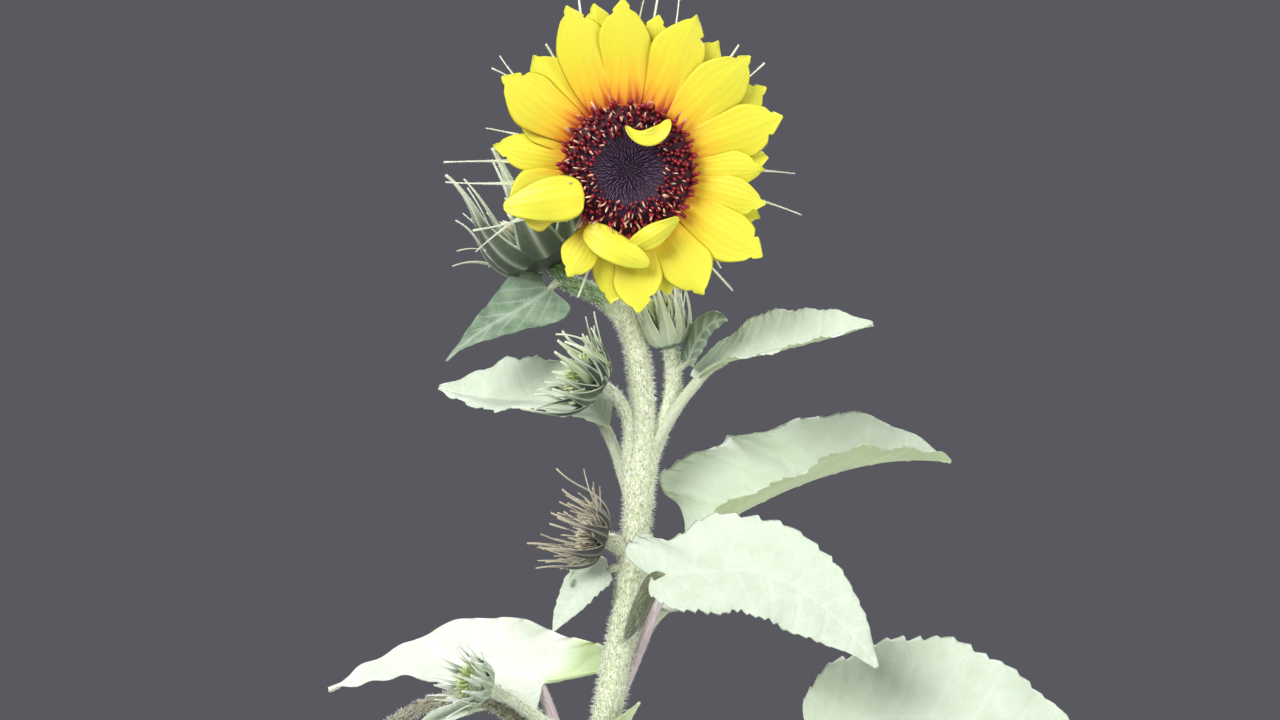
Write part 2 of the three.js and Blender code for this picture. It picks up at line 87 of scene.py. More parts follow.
def smooth_path(knots, spans=40):
    """A centripetal Catmull-Rom curve: each stretch is a cubic whose end slopes weigh the chords on both
    sides by the square roots of their lengths. Any columns past the third run evenly between knots."""
    place = knots[:, :3]
    p = np.vstack([2 * place[0] - place[1], place, 2 * place[-1] - place[-2]])[:, None]
    root = np.linalg.norm(np.diff(p, axis=0), axis=2, keepdims=True) ** 0.5
    d0, d1, d2 = root[:-2], root[1:-1], root[2:]
    x0, x1, x2, x3 = p[:-3], p[1:-2], p[2:-1], p[3:]
    m1 = ((x1 - x0) / d0 - (x2 - x0) / (d0 + d1) + (x2 - x1) / d1) * d1
    m2 = ((x2 - x1) / d1 - (x3 - x1) / (d1 + d2) + (x3 - x2) / d2) * d1
    t = (np.arange(spans) / spans)[None, :, None]
    curve = x1 + m1 * t + (3 * (x2 - x1) - 2 * m1 - m2) * t**2 + (2 * (x1 - x2) + m1 + m2) * t**3
    rest = knots[:-1, None, 3:] + (knots[1:, None, 3:] - knots[:-1, None, 3:]) * t
    dense = np.concatenate([curve, rest], axis=2).reshape(-1, knots.shape[1])
    return np.vstack([dense, knots[-1]])


def evenly(path, count):
    """The path's columns at places a like distance apart along it."""
    run = run_of(path)
    return read_off(np.linspace(0, run[-1], count), run, path)


def rings(path, hint):
    """At each place of a path, two unit directions square to it, the first also square to a hint."""
    tangent = unit(np.gradient(path, axis=0))
    side = unit(np.cross(np.array(hint, float), tangent))
    return side, np.cross(tangent, side)


def grid_faces(rows, columns):
    """Quads of a grid of points, row by row, that closes on itself across."""
    i, j = np.meshgrid(np.arange(rows - 1), np.arange(columns), indexing="ij")
    k = (j + 1) % columns
    low, high = i * columns, (i + 1) * columns
    return np.stack([low + j, low + k, high + k, high + j], -1).reshape(-1, 4)


def tube(path, radius, sides, hint=SIDEWAYS):
    """A closed tube: a ring of points stands square to the path at each place, as far out as the radius,
    which is one number for a place or one for each point of its ring. Flat faces close both ends."""
    side, other = rings(path, hint)
    angle = turns(sides)
    out = side[:, None] * np.cos(angle)[:, None] + other[:, None] * np.sin(angle)[:, None]
    radius = np.broadcast_to(np.reshape(radius, (len(path), -1)), out.shape[:2])
    points = path[:, None] + out * radius[..., None]
    last = (len(path) - 1) * sides
    caps = np.array([np.arange(sides)[::-1], last + np.arange(sides)])
    uv = np.stack(np.broadcast_arrays(angle[None] / (2 * np.pi), run_of(path)[:, None] * UV_SCALE), -1)
    return points.reshape(-1, 3), [grid_faces(len(path), sides), caps], uv.reshape(-1, 2)


def linked(name, data):
    """A new object of the scene."""
    made = bpy.data.objects.new(name, data)
    bpy.context.scene.collection.objects.link(made)
    return made


class Heap:
    """Meshes joined into one piece: their points, faces and layers stand end to end."""

    def __init__(self):
        self.points, self.faces, self.layers, self.count = [], [], {}, 0

    def add(self, points, faces, uv, **layers):
        """Adds a mesh: its points, blocks of faces and UV map, and for each layer one value or many."""
        self.points.append(points)
        self.faces += [block + self.count for block in faces]
        self.count += len(points)
        layers["uv"] = uv
        for name, values in layers.items():
            values = np.broadcast_to(values, (len(points),) + np.shape(values)[1:])
            self.layers.setdefault(name, []).append(values)

    def piece(self, name, material, slot, nodes=()):
        """Writes the heap into a smooth mesh that rides on the plant and stands for its nodes."""
        mesh = bpy.data.meshes.new(name)
        points = np.concatenate(self.points) * MM
        corners = np.concatenate([block.ravel() for block in self.faces])
        sizes = np.concatenate([np.full(len(block), block.shape[1]) for block in self.faces])
        mesh.vertices.add(len(points))
        mesh.vertices.foreach_set("co", points.astype(np.float32).ravel())
        mesh.loops.add(len(corners))
        mesh.loops.foreach_set("vertex_index", corners.astype(np.int32))
        mesh.polygons.add(len(sizes))
        mesh.polygons.foreach_set("loop_start", np.r_[0, np.cumsum(sizes)[:-1]].astype(np.int32))
        mesh.polygons.foreach_set("use_smooth", np.ones(len(sizes), bool))
        mesh.update(calc_edges=True)
        uv = np.concatenate(self.layers.pop("uv"))
        mesh.uv_layers.new(name="UVMap").data.foreach_set("uv", uv[corners].astype(np.float32).ravel())
        for layer, values in self.layers.items():
            made = mesh.attributes.new(layer, "FLOAT", "POINT")
            made.data.foreach_set("value", np.concatenate(values).astype(np.float32).ravel())
        mesh.validate()
        mesh.materials.append(material)
        piece = linked(name, mesh)
        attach(piece, "root")
        if nodes:
            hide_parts(*nodes)
        return piece


def put(tree, kind, inputs, **settings):
    """Adds a shader node. Each input takes a value, or a link from another node's output."""
    made = tree.nodes.new("ShaderNode" + kind)
    for key, value in settings.items():
        setattr(made, key, value)
    for socket, value in inputs.items():
        if isinstance(value, bpy.types.NodeSocket):
            tree.links.new(value, made.inputs[socket])
        else:
            made.inputs[socket].default_value = value
    return made


def mixed(tree, factor, first, second, blend="MIX"):
    """The second colour over the first by a factor."""
    return put(tree, "Mix", {0: factor, 6: first, 7: second}, data_type="RGBA", blend_type=blend).outputs[2]


def ranged(tree, value, low, high, to_low=0.0, to_high=1.0):
    """A value carried over from one range to another and held at its ends."""
    ends = {"From Min": low, "From Max": high, "To Min": to_low, "To Max": to_high}
    return put(tree, "MapRange", {"Value": value, **ends}).outputs[0]


def noise(tree, vector, scale, detail=2.0, roughness=0.5):
    """Soft noise about one half."""
    kind = {"Scale": scale, "Detail": detail, "Roughness": roughness}
    return put(tree, "TexNoise", {"Vector": vector, **kind}).outputs["Fac"]


def added(tree, first, second):
    """The sum of two values."""
    return put(tree, "Math", {0: first, 1: second}, operation="ADD").outputs[0]


def layer(tree, name):
    """A layer of numbers that the mesh carries."""
    return put(tree, "Attribute", {}, attribute_name=name).outputs["Fac"]


def mesh_uv(tree):
    """The mesh's own UV map."""
    return put(tree, "UVMap", {}, uv_map="UVMap").outputs[0]


def object_place(tree):
    """The place on the object."""
    return put(tree, "TexCoord", {}).outputs["Object"]


def shader_group(name, colours, numbers):
    """A node group whose named inputs are colours, numbers and a vector, with what it gives: a colour and
    the height of a relief. Its inputs and outputs come back with it."""
    group = bpy.data.node_groups.new(name, "ShaderNodeTree")
    kinds = {**dict.fromkeys(colours, "Color"), **dict.fromkeys(numbers, "Float"), "Vector": "Vector"}
    for way, sockets in (("INPUT", kinds), ("OUTPUT", {"Color": "Color", "Height": "Float"})):
        for socket, kind in sockets.items():
            group.interface.new_socket(socket, in_out=way, socket_type="NodeSocket" + kind)
    return group, group.nodes.new("NodeGroupInput").outputs, group.nodes.new("NodeGroupOutput").inputs


def new_skin(name, roughness, sheen=0.0, sheen_roughness=0.5):
    """A material with its roughness and sheen, and its node tree."""
    material = bpy.data.materials.new(name)
    material.use_nodes = True
    levels = {"Roughness": roughness, "Sheen Weight": sheen, "Sheen Roughness": sheen_roughness}
    for socket, level in levels.items():
        material.node_tree.nodes["Principled BSDF"].inputs[socket].default_value = level
    return material, material.node_tree


def wear(tree, colour, height=None, strength=0.5, distance=MM):
    """Gives a material's shader its colour and, where there is a height, its relief."""
    shader = tree.nodes["Principled BSDF"]
    tree.links.new(colour, shader.inputs["Base Color"])
    if height is not None:
        bump = put(tree, "Bump", {"Height": height, "Strength": strength, "Distance": distance})
        tree.links.new(bump.outputs[0], shader.inputs["Normal"])


def fleck_group():
    """Base colour with streaks and small pale flecks, all drawn out by the vector's own scale, and the
    height of the relief that goes with them."""
    group, given, out = shader_group("PlantFlecks", ("Base", "Streak", "Fleck"), ("Fineness",))
    streaks = ranged(group, noise(group, given["Vector"], 5.0, 4.0), 0.42, 0.62)
    cells = put(group, "TexVoronoi", {"Vector": given["Vector"], "Scale": given["Fineness"]})
    spots = ranged(group, cells.outputs["Distance"], 0.34, 0.16)
    tinted = mixed(group, streaks, given["Base"], given["Streak"])
    group.links.new(mixed(group, spots, tinted, given["Fleck"]), out["Color"])
    group.links.new(added(group, spots, streaks), out["Height"])
    return group


PLANT_FLECKS = fleck_group()
STEM_TONES = ((0.64, 0.71, 0.43), (0.9, 0.92, 0.75), (0.26, 0.25, 0.11))


def plant_skin(name, tones, fineness, stretch, relief, merges=True):
    """The skin of a stalk: its flecks follow its own UV map, drawn out lengthwise by the stretch, and by its
    foot the stem's tones take over from its own."""
    material, tree = new_skin(name, 0.62, 0.25, 0.4)
    drawn = put(tree, "Mapping", {"Vector": mesh_uv(tree), "Scale": stretch}).outputs[0]

    def flecked(shades):
        given = {socket: (*shade, 1) for socket, shade in zip(("Base", "Streak", "Fleck"), shades)}
        given.update({"Vector": drawn, "Fineness": fineness})
        return put(tree, "Group", given, node_tree=PLANT_FLECKS).outputs

    own = flecked(tones)
    colour = own["Color"]
    if merges:
        colour = mixed(tree, layer(tree, "foot"), colour, flecked(STEM_TONES)["Color"])
    wear(tree, colour, own["Height"], 0.6, relief)
    return material


def merging(way, within, sides, length=14):
    """How far the stem's tones show on each ring of a shoot: wholly at its foot, not at all past a length."""
    return np.repeat(np.clip(1.3 - (way - within) / length, 0, 1), sides)


STEM_SKIN = plant_skin("StemSkin", STEM_TONES, 8.0, (7, 3.0, 1), 0.0004, merges=False)
HAIR_WHITE, hair_tree = new_skin("HairWhite", 0.45)
hair_tint = noise(hair_tree, object_place(hair_tree), 90.0)
wear(hair_tree, mixed(hair_tree, hair_tint, (0.76, 0.82, 0.66, 1), (0.95, 0.96, 0.92, 1)))

random = np.random.default_rng(20)


def hairs(heap, roots, out, length, width, tilt=0.35):
    """Straight hairs: each is a slim closed spike of three sides from its root along its own direction,
    which leans from the outward one by a random tilt."""
    count = len(roots)
    lean = unit(out + tilt * random.normal(size=(count, 3)))
    reach = length * random.uniform(0.55, 1.15, (count, 1))
    side = unit(np.cross(lean, random.normal(size=(count, 3))))
    other = np.cross(lean, side)
    turn = turns(3)
    ring = side[:, None] * np.cos(turn)[:, None] + other[:, None] * np.sin(turn)[:, None]
    foot = (roots - 0.15 * lean)[:, None] + ring * width / 2
    points = np.concatenate([foot, (roots + lean * reach)[:, None]], axis=1).reshape(-1, 3)
    start = 4 * np.arange(count)[:, None, None]
    faces = start + np.array([(0, 1, 3), (1, 2, 3), (2, 0, 3), (0, 2, 1)])
    heap.add(points, [faces.reshape(-1, 3)], np.zeros((len(points), 2)))


def tube_hairs(heap, path, radius, per_square_mm, length, width, hint=SIDEWAYS):
    """Hairs at random places all over a tube."""
    run = run_of(path)
    radius = np.broadcast_to(radius, len(path)).astype(float)
    count = int(per_square_mm * 2 * np.pi * radius.mean() * run[-1])
    at = random.uniform(0, run[-1], count)
    angle = random.uniform(0, 2 * np.pi, (count, 1))
    place, side, other = (read_off(at, run, columns) for columns in (path, *rings(path, hint)))
    out = unit(side * np.cos(angle) + other * np.sin(angle))
    hairs(heap, place + out * np.interp(at, run, radius)[:, None], out, length, width)


stem_path = evenly(smooth_path(STEM_AXIS), STEM_RINGS)
stem_axis, stem_radius = stem_path[:, :3], stem_path[:, 3]
ring_angle = turns(STEM_SIDES)
stem_run = np.linspace(0, 1, STEM_RINGS)[:, None]
ridges = 0.022 * np.cos(STEM_RIDGES * ring_angle + 2.2 * np.sin(7 * stem_run))
lumps = 0.018 * np.sin(61 * stem_run + 2 * ring_angle) * np.sin(23 * stem_run + 3 * ring_angle + 1)
stem_points, stem_faces, stem_uv = tube(stem_axis, stem_radius[:, None] * (1 + ridges + lumps), STEM_SIDES)
stem_points[:, 2] = np.where(stem_points[:, 2] < LEVELLED, 0, stem_points[:, 2])
stem = Heap()
stem.add(stem_points, stem_faces, stem_uv)
stem.piece("stem_skin", STEM_SKIN, "stem", ["main_stem"])

STEM_HAIRS = {"per_square_mm": 0.48, "length": 3.2, "width": 0.4}
stem_hairs = Heap()
tube_hairs(stem_hairs, stem_axis[HAIRY], stem_radius[HAIRY], **STEM_HAIRS)
stem_hairs.piece("stem_hairs", HAIR_WHITE, "stem")


def stem_at(height):
    """The stem's axis and radius at a height below its neck."""
    below = stem_axis[:, 2] < NECK_BEND
    return (
        np.array([np.interp(height, stem_axis[below, 2], stem_axis[below, k]) for k in range(3)]),
        np.interp(height, stem_axis[below, 2], stem_radius[below]),
    )


# The side branches: round green shoots that grow from the leaf axils, arch out and each end in a bud.
# Their skin is that of the stem, darker and more closely flecked, under the same white hairs.

# Each has its height on the stem, bearing, rises, stretches and end radii, its bud's core as radius and
# height, and the count, length, half width and rises of the bud's bracts.
BRANCHES = {
    "right": (913, 10, [66, 66, 76, 104], [26, 16, 30], (4.4, 4.1), (9.5, 24), 9, 32, 4.4, (40, 86, 86)),
    "left": (
        893, 196, [68, 84, 94, 70, 28], [16, 24, 14, 20], (3.8, 3.4), (11, 17), 10, 34, 4.2, (24, 64, 52)
    ),
    "behind": (990, 160, [58, 42, 16, 66], [18, 22, 18], (4.8, 4.8), (23, 27), 11, 56, 6.6, (12, 74, 38)),
    "short": (872, 190, [38, 18], [17], (4.4, 4), (9, 12), 11, 31, 2.2, (30, 56, 60)),
    "lower_left": (762, 213, [46, 34, 38, 24], [30, 30, 22], (3.4, 2.9), (9, 13), 9, 27, 3.4, (30, 74, 60)),
    "arching": (
        748, 193, [52, 37, 28, -14, -50], [55, 18, 28, 48], (4.2, 3), (9, 14), 8, 28, 4, (30, 80, 76)
    ),
    "back_left": (610, 118, [52, 70, 76], [60, 75], (4.6, 3.2), (9, 15), 8, 26, 4, (40, 88, 84)),
    "back_right": (552, 52, [50, 68, 80], [60, 70], (4.6, 3.2), (10, 15), 8, 28, 4, (36, 80, 70)),
}
LINE_STATIONS = 60


class GrowingLine:
    """A line that grows from its foot: at a share of its way its rise has turned evenly from each value
    to the next over its stretches, and its bearing by a like share of the swing. It runs straight past
    both ends."""

    def __init__(self, foot, bearing, rises, stretches, swing=0.0):
        self.total = float(sum(stretches))
        self.step = self.total / LINE_STATIONS
        way = self.step * np.arange(LINE_STATIONS + 1)
        azimuth = np.radians(bearing + swing * way / self.total)
        rise = np.radians(np.interp(way + self.step / 2, np.r_[0, np.cumsum(stretches)], rises))
        level = np.stack([np.cos(azimuth), np.sin(azimuth), 0 * way], -1)
        self.tangent = level * np.cos(rise)[:, None]
        self.tangent[:, 2] = np.sin(rise)
        self.side = np.stack([-level[:, 1], level[:, 0], 0 * way], -1)
        self.normal = np.cross(self.tangent, self.side)
        steps = np.vstack([np.zeros(3), np.cumsum(self.tangent, 0)[:-1]])
        self.at = np.array(foot, float) + self.step * steps

    def frames(self, way):
        """Place, side, normal and tangent at distances along the line, in an array of any shape."""
        index = np.clip(way / self.step - 0.5, 0, LINE_STATIONS)
        low = np.minimum(index.astype(int), LINE_STATIONS - 1)
        part = (index - low)[..., None]
        blocks = (self.side, self.normal, self.tangent)
        side, normal, tangent = (unit(block[low] * (1 - part) + block[low + 1] * part) for block in blocks)
        near = np.clip(np.floor(way / self.step), 0, LINE_STATIONS).astype(int)
        place = self.at[near] + self.tangent[near] * (way - near * self.step)[..., None]
        return place, side, normal, tangent


BRANCH_SKIN = plant_skin(
    "BranchSkin", ((0.6, 0.68, 0.43), (0.86, 0.89, 0.74), (0.24, 0.27, 0.13)), 8.0, (4, 3.0, 1), 0.0004
)
GREEN_SHADE = plant_skin(
    "GreenShade", ((0.06, 0.14, 0.04), (0.24, 0.38, 0.16), (0.6, 0.7, 0.5)), 8.0, (6, 1.6, 1), 0.0005
)
BROWN_SHADE = plant_skin(
    "BrownShade", ((0.12, 0.1, 0.06), (0.4, 0.4, 0.26), (0.72, 0.7, 0.58)), 8.0, (6, 2.2, 1), 0.0005
)
BRANCH_SKINS = {"behind": GREEN_SHADE, "arching": BROWN_SHADE}
BRANCH_SIDES = 32
BRANCH_RINGS = 140
BRANCH_FLARE = {"by": 0.22, "within": 7}
BRANCH_HAIRS = {"per_square_mm": 0.55, "length": 2.4, "width": 0.32}
SUNK_IN = 0.6
branch_hairs = Heap()
branch_lines = {}
for name, (height, bearing, rises, stretches, radii, *_) in BRANCHES.items():
    foot, within = stem_at(height)
    line = GrowingLine(foot, bearing, rises, stretches)
    branch_lines[name] = line
    way = np.linspace(0, line.total, BRANCH_RINGS)
    place = line.frames(way)[0]
    radius = np.interp(way, [0, line.total], radii)
    flared = np.exp(-(((way - within) / BRANCH_FLARE["within"]) ** 2))
    radius = radius * (1 + BRANCH_FLARE["by"] * flared)
    angle = turns(BRANCH_SIDES)
    along = way[:, None]
    relief = 1 + 0.03 * np.cos(7 * angle + 3 * along / line.total) + 0.02 * np.sin(along / 2.3 + angle)
    hint = line.side[0]
    shown = way > SUNK_IN * within
    skin = Heap()
    shoot = tube(place[shown], (radius[:, None] * relief)[shown], BRANCH_SIDES, hint)
    skin.add(*shoot, foot=merging(way[shown], within, BRANCH_SIDES))
    skin.piece(f"branch_{name}_skin", BRANCH_SKINS.get(name, BRANCH_SKIN), "branch", [f"branch_{name}"])
    tube_hairs(branch_hairs, place[shown], radius[shown], **BRANCH_HAIRS, hint=hint)
branch_hairs.piece("branch_hairs", HAIR_WHITE, "branch")


# The leaves: thin, rough and pale, with a toothed and waving margin, a strong midrib and side veins that
# sweep forward. Each stands on a round stalk, which runs on under the blade as its midrib.

# Each has its height on the stem, or its branch and the share of the way up it, then its stalk's bearing,
# rises, stretches and radius, and its blade's rises, stretches, half width, fold, roll and lobe.
UPPER_LEAVES = {
    "right_upper": (917, -10, [62, 57, 64], [42, 14], 2.9, [46, 12, 13, 18], [20, 36, 42], 24, 30, 32, 0),
    "left_upper": (888, 159, [74, 70], [54], 3, [52, 8, 0, 14], [24, 32, 50], 28, 29, -38, 0),
    "right_large": (
        781, 13, [62, 68, 64], [52, 56], 2.7, [26, 24, 10, -8], [50, 60, 50], 44, 41, 19, (2.2, -0.2)
    ),
    "right_front": (824, -72, [28, 50], [70], 3.7, [10, 4, -30, -56], [40, 35, 52], 32, 3, 58, (1.45, 0.35)),
    "left_large": (
        740, 176, [56, 74, 76], [50, 20], 3, [24, 10, -14, -26], [36, 40, 44], 42, (-20, 34), -6, (0.15, 1.35)
    ),
    "left_small": (866, 196, [0, -14], [14], 1.7, [-10, -48, -62], [14, 30], 11, 10, -56, 0.4),
    "right_lower": (690, -14, [46, 38, 34], [80, 74], 3.2, [20, 0, -30], [60, 85], 46, 12, 38, 0.5),
    "front_small": (752, -33, [38, 66], [16], 1.8, [66, 58], [38.08], 14, 24, 0, 0.4),
    "back_upper": (795, 52, [50, 38], [62], 2.7, [10, 0, -24], [44, 66], 36, 16, 0, 0.8),
}
LOWER_LEAVES = dict(
    count=12, heights=(118, 652), first_bearing=275, turn=137.5, stalks=(68, 100), blades=(132, 188),
    curl=0.12,
)
BRANCH_LEAVES = {
    "right_bract": ("right", 0.82, -44, [16, 40], [12], 1.3, [66, 46, -6], [18.4, 18.4], 12.6, 6, 66, 0.4),
    "behind_bract": ("behind", 0.88, 200, [-40, -44], [11], 1.6, [-34, -28, -46], [32, 36], 20, 8, -56, 0.2),
    "arching_bract": (
        "arching", 0.5, 178, [-30, -10], [12], 1.3, [-10, -20, -50], [14, 22], 10, 14, -20, 0.4
    ),
    "back_left_bract": ("back_left", 0.55, 150, [50, 34], [22], 1.5, [24, 0, -20], [30, 30], 17, 20, 0, 0.5),
    "back_right_bract": ("back_right", 0.5, 20, [50, 34], [22], 1.5, [24, 0, -20], [30, 30], 17, 20, 0, 0.5),
}
RIB_ROUNDING = 0.06


def leaf_outline(t, swell=0.5, taper=1.15):
    """Half the leaf's width as a share of its greatest: it swells as one power of t from the foot and
    tapers as another to a long point."""
    widest = swell / (swell + taper)
    return 0.03 + 0.97 * (t / widest) ** swell * ((1 - t) / (1 - widest)) ** taper


def two_faces(top, under):
    """A blade's top, then its underside without the margins, which runs back across."""
    return np.concatenate([top, under[:, 1:-1][:, ::-1]], axis=1)


def blade(
    line, grid, thickness, width_at, relief, reach_at=None, fold=0, curl=0, lobe=0, roll=0, twist=0, hook=0
):
    """A thin closed blade along a line. A point at share t along it and v across, from -1 to 1, stands v
    half widths out; its halves fold up about the midrib, its margins curl down, its roll grows by its
    twist, and its lobes reach straight back, with a hollow inner margin if they have a hook. Relief gives
    how far the sheet, its top and its underside rise there, and any veins, which come back last. Both faces
    meet in a thin margin. A pair of folds or lobes is for the left and right halves."""
    rows, columns = grid
    t, v = np.meshgrid(np.linspace(0, 1, rows + 1), np.linspace(-1, 1, columns + 1), indexing="ij")
    width = width_at(t)
    reach = np.sqrt(v**2 + RIB_ROUNDING**2) - RIB_ROUNDING
    out = v * (1 if reach_at is None else reach_at(t, v))
    lobe, fold = (np.where(v > 0, *part) if np.ndim(part) else part for part in (lobe, fold))
    way = t * line.total - lobe * width * (width / width.max()) ** hook * np.abs(v) * (1 - t) ** 2
    at, side, normal, _ = line.frames(way)
    lean, bend = np.radians(roll + twist * t), np.radians(fold + 0 * t)
    sheet, above, beneath, *veins = relief(t, v, width, line.total)
    level = np.cos(bend) * width * out
    lift = (np.sin(bend) * reach - curl * reach**2) * width + sheet
    middle = (
        at
        + side * (level * np.cos(lean) - lift * np.sin(lean))[..., None]
        + normal * (level * np.sin(lean) + lift * np.cos(lean))[..., None]
    )
    up = unit(np.cross(np.gradient(middle, axis=0), np.gradient(middle, axis=1)))
    half = thickness / 2 * np.sqrt(1 - np.abs(v) ** 5)
    points = two_faces(middle + up * (half + above)[..., None], middle - up * (half + beneath)[..., None])
    spot = np.stack([t, v], -1)
    spots = two_faces(spot, spot)
    below = two_faces(0 * t, 1 + 0 * t)
    uv = np.stack([spots[..., 1] * two_faces(width, width), spots[..., 0] * line.total], -1) * UV_SCALE
    around = points.shape[1]
    caps = np.array([np.arange(around), rows * around + np.arange(around)[::-1]])
    faces = [grid_faces(rows + 1, around)[:, ::-1], caps]
    return points.reshape(-1, 3), faces, uv.reshape(-1, 2), spots.reshape(-1, 2), below.ravel(), *veins


def saw(s):
    """Teeth that point forward: each swells slowly and falls back at its tip."""
    part = s % 1
    return np.where(part < 0.8, part / 0.8, (1 - part) / 0.2)


def leaf_parts(half_width, seed, teeth, tooth, waves, notches, sweep, pairs):
    """The margin and the relief of one leaf. The margin has forward teeth, deeper or shallower by turns,
    and a few notches (side, share, spread, depth). The relief has a midrib, veins that leave it in pairs
    and sweep forward, a sheet that swells between them, and slow waves towards the margin."""
    phase = 2.4 * seed

    def reach_at(t, v):
        edge = np.clip((np.abs(v) - 0.6) / 0.4, 0, 1) ** 2
        depth = tooth * (0.7 + 0.3 * np.sin(5 * t * teeth / 3 + phase + 2 * np.sign(v)))
        margin = 1 - depth * (1 - saw(t * teeth + 0.37 * np.sign(v) + seed)) * (1 - t) ** 0.3
        margin = margin + 0.05 * np.sin(11 * t + phase + 2 * np.sign(v)) * (1 - t)
        whole = np.ones_like(t)
        for side, share, spread, deep in notches:
            whole = whole - deep * np.exp(-(((t - share) / spread) ** 2)) * (np.sign(v) == side)
        return (1 + (margin - 1) * edge) * whole

    def relief(t, v, width, total):
        away = np.abs(v)
        order = (t - sweep * away**0.8 * (1 - t)) * pairs / 0.95 + 0.12 * np.sign(v) + 0.3
        from_vein = np.abs(order % 1 - 0.5) * total * 0.8 / pairs
        veins = np.exp(-((from_vein / (0.7 + 0.4 * (1 - away))) ** 2)) * np.clip(1.25 - away, 0, 1)
        rib = np.exp(-((v * width / (1.5 - 0.9 * t)) ** 2))
        lines = np.maximum(veins, rib)
        swell = 0.55 * np.sin(np.pi * np.clip(from_vein / (total * 0.4 / pairs), 0, 1)) * away * (1 - away**4)
        slow = np.sin(2 * np.pi * (2.3 * t + 0.13 * seed) + 1.7 * np.sign(v))
        wave = waves * away**2 * slow * (1 - t) ** 0.5
        wave = wave + 0.4 * waves * away**3 * np.sin(2 * np.pi * 6.1 * t + 2 * seed + np.sign(v))
        scale = min(1, half_width / 25)
        return (wave + swell) * scale, -0.35 * lines * scale, (0.5 * veins + 0.9 * rib) * scale, lines

    return reach_at, relief


def sheet_group():
    """A leaf's colours and relief: the top's colour or the underside's, greener by the leaf's own hue,
    mottled in patches, paler along the veins, and raised in a fine net of small veins with some grain."""
    group, given, out = shader_group(
        "LeafSheet", ("Top", "Under", "Green", "Patch", "Vein"), ("Below", "Hue", "Veins")
    )
    vector = given["Vector"]
    faces = mixed(group, given["Below"], given["Top"], given["Under"])
    faces = mixed(group, given["Hue"], faces, given["Green"])
    patch = ranged(group, noise(group, vector, 3.0, 5.0, 0.6), 0.35, 0.65)
    mottled = mixed(group, 1.0, faces, mixed(group, patch, given["Patch"], (1, 1, 1, 1)), "MULTIPLY")
    net = put(group, "TexVoronoi", {"Vector": vector, "Scale": 34.0}, feature="DISTANCE_TO_EDGE")
    ridge = ranged(group, net.outputs["Distance"], 0.0, 0.22)
    group.links.new(mixed(group, given["Veins"], mottled, given["Vein"]), out["Color"])
    group.links.new(added(group, ridge, noise(group, vector, 160.0)), out["Height"])
    return group


LEAF_SHEET = sheet_group()


def leaf_skin(name, top, under, vein, green=(0.12, 0.2, 0.1), patch=(0.86, 0.88, 0.84), sheen=0.3):
    """A leaf's skin: the sheet's colours and relief, fed by the layers that its mesh carries."""
    material, tree = new_skin(name, 0.6, sheen)
    tones = {"Top": top, "Under": under, "Green": green, "Patch": patch, "Vein": vein}
    given = {socket: (*tone, 1) for socket, tone in tones.items()}
    given.update({socket: layer(tree, socket.lower()) for socket in ("Below", "Hue", "Veins")})
    sheet = put(tree, "Group", {**given, "Vector": mesh_uv(tree)}, node_tree=LEAF_SHEET).outputs
    wear(tree, sheet["Color"], sheet["Height"], 0.5, 0.0003)
    return material


LEAF_SKIN = leaf_skin("LeafSkin", (0.68, 0.77, 0.62), (0.58, 0.7, 0.38), (0.8, 0.86, 0.74))
MOTTLED_SKIN = leaf_skin(
    "MottledSkin", (0.4, 0.52, 0.36), (0.42, 0.54, 0.36), (0.8, 0.86, 0.74), (0.08, 0.15, 0.1),
    (0.3, 0.42, 0.34),
)
# A paler copy of the leaf skin: painted light, which makes a leaf look brightly sunlit.
SUNLIT_LEAF_SKIN = leaf_skin("PaintedSunlitLeafSkin", (0.84, 0.9, 0.78), (0.62, 0.76, 0.4), (0.88, 0.92, 0.82))
STALK_SKIN = plant_skin(
    "StalkSkin", ((0.56, 0.63, 0.42), (0.7, 0.74, 0.58), (0.24, 0.28, 0.14)), 14.0, (6, 2.6, 1), 0.0003
)
DARK_STALK = plant_skin(
    "DarkStalk", ((0.055, 0.07, 0.03), (0.34, 0.37, 0.2), (0.02, 0.025, 0.01)), 7.0, (14, 1.1, 1), 0.0006
)
PINK_STALK = plant_skin(
    "PinkStalk", ((0.6, 0.42, 0.5), (0.8, 0.74, 0.72), (0.9, 0.88, 0.84)), 8.0, (10, 1.3, 1), 0.0004
)
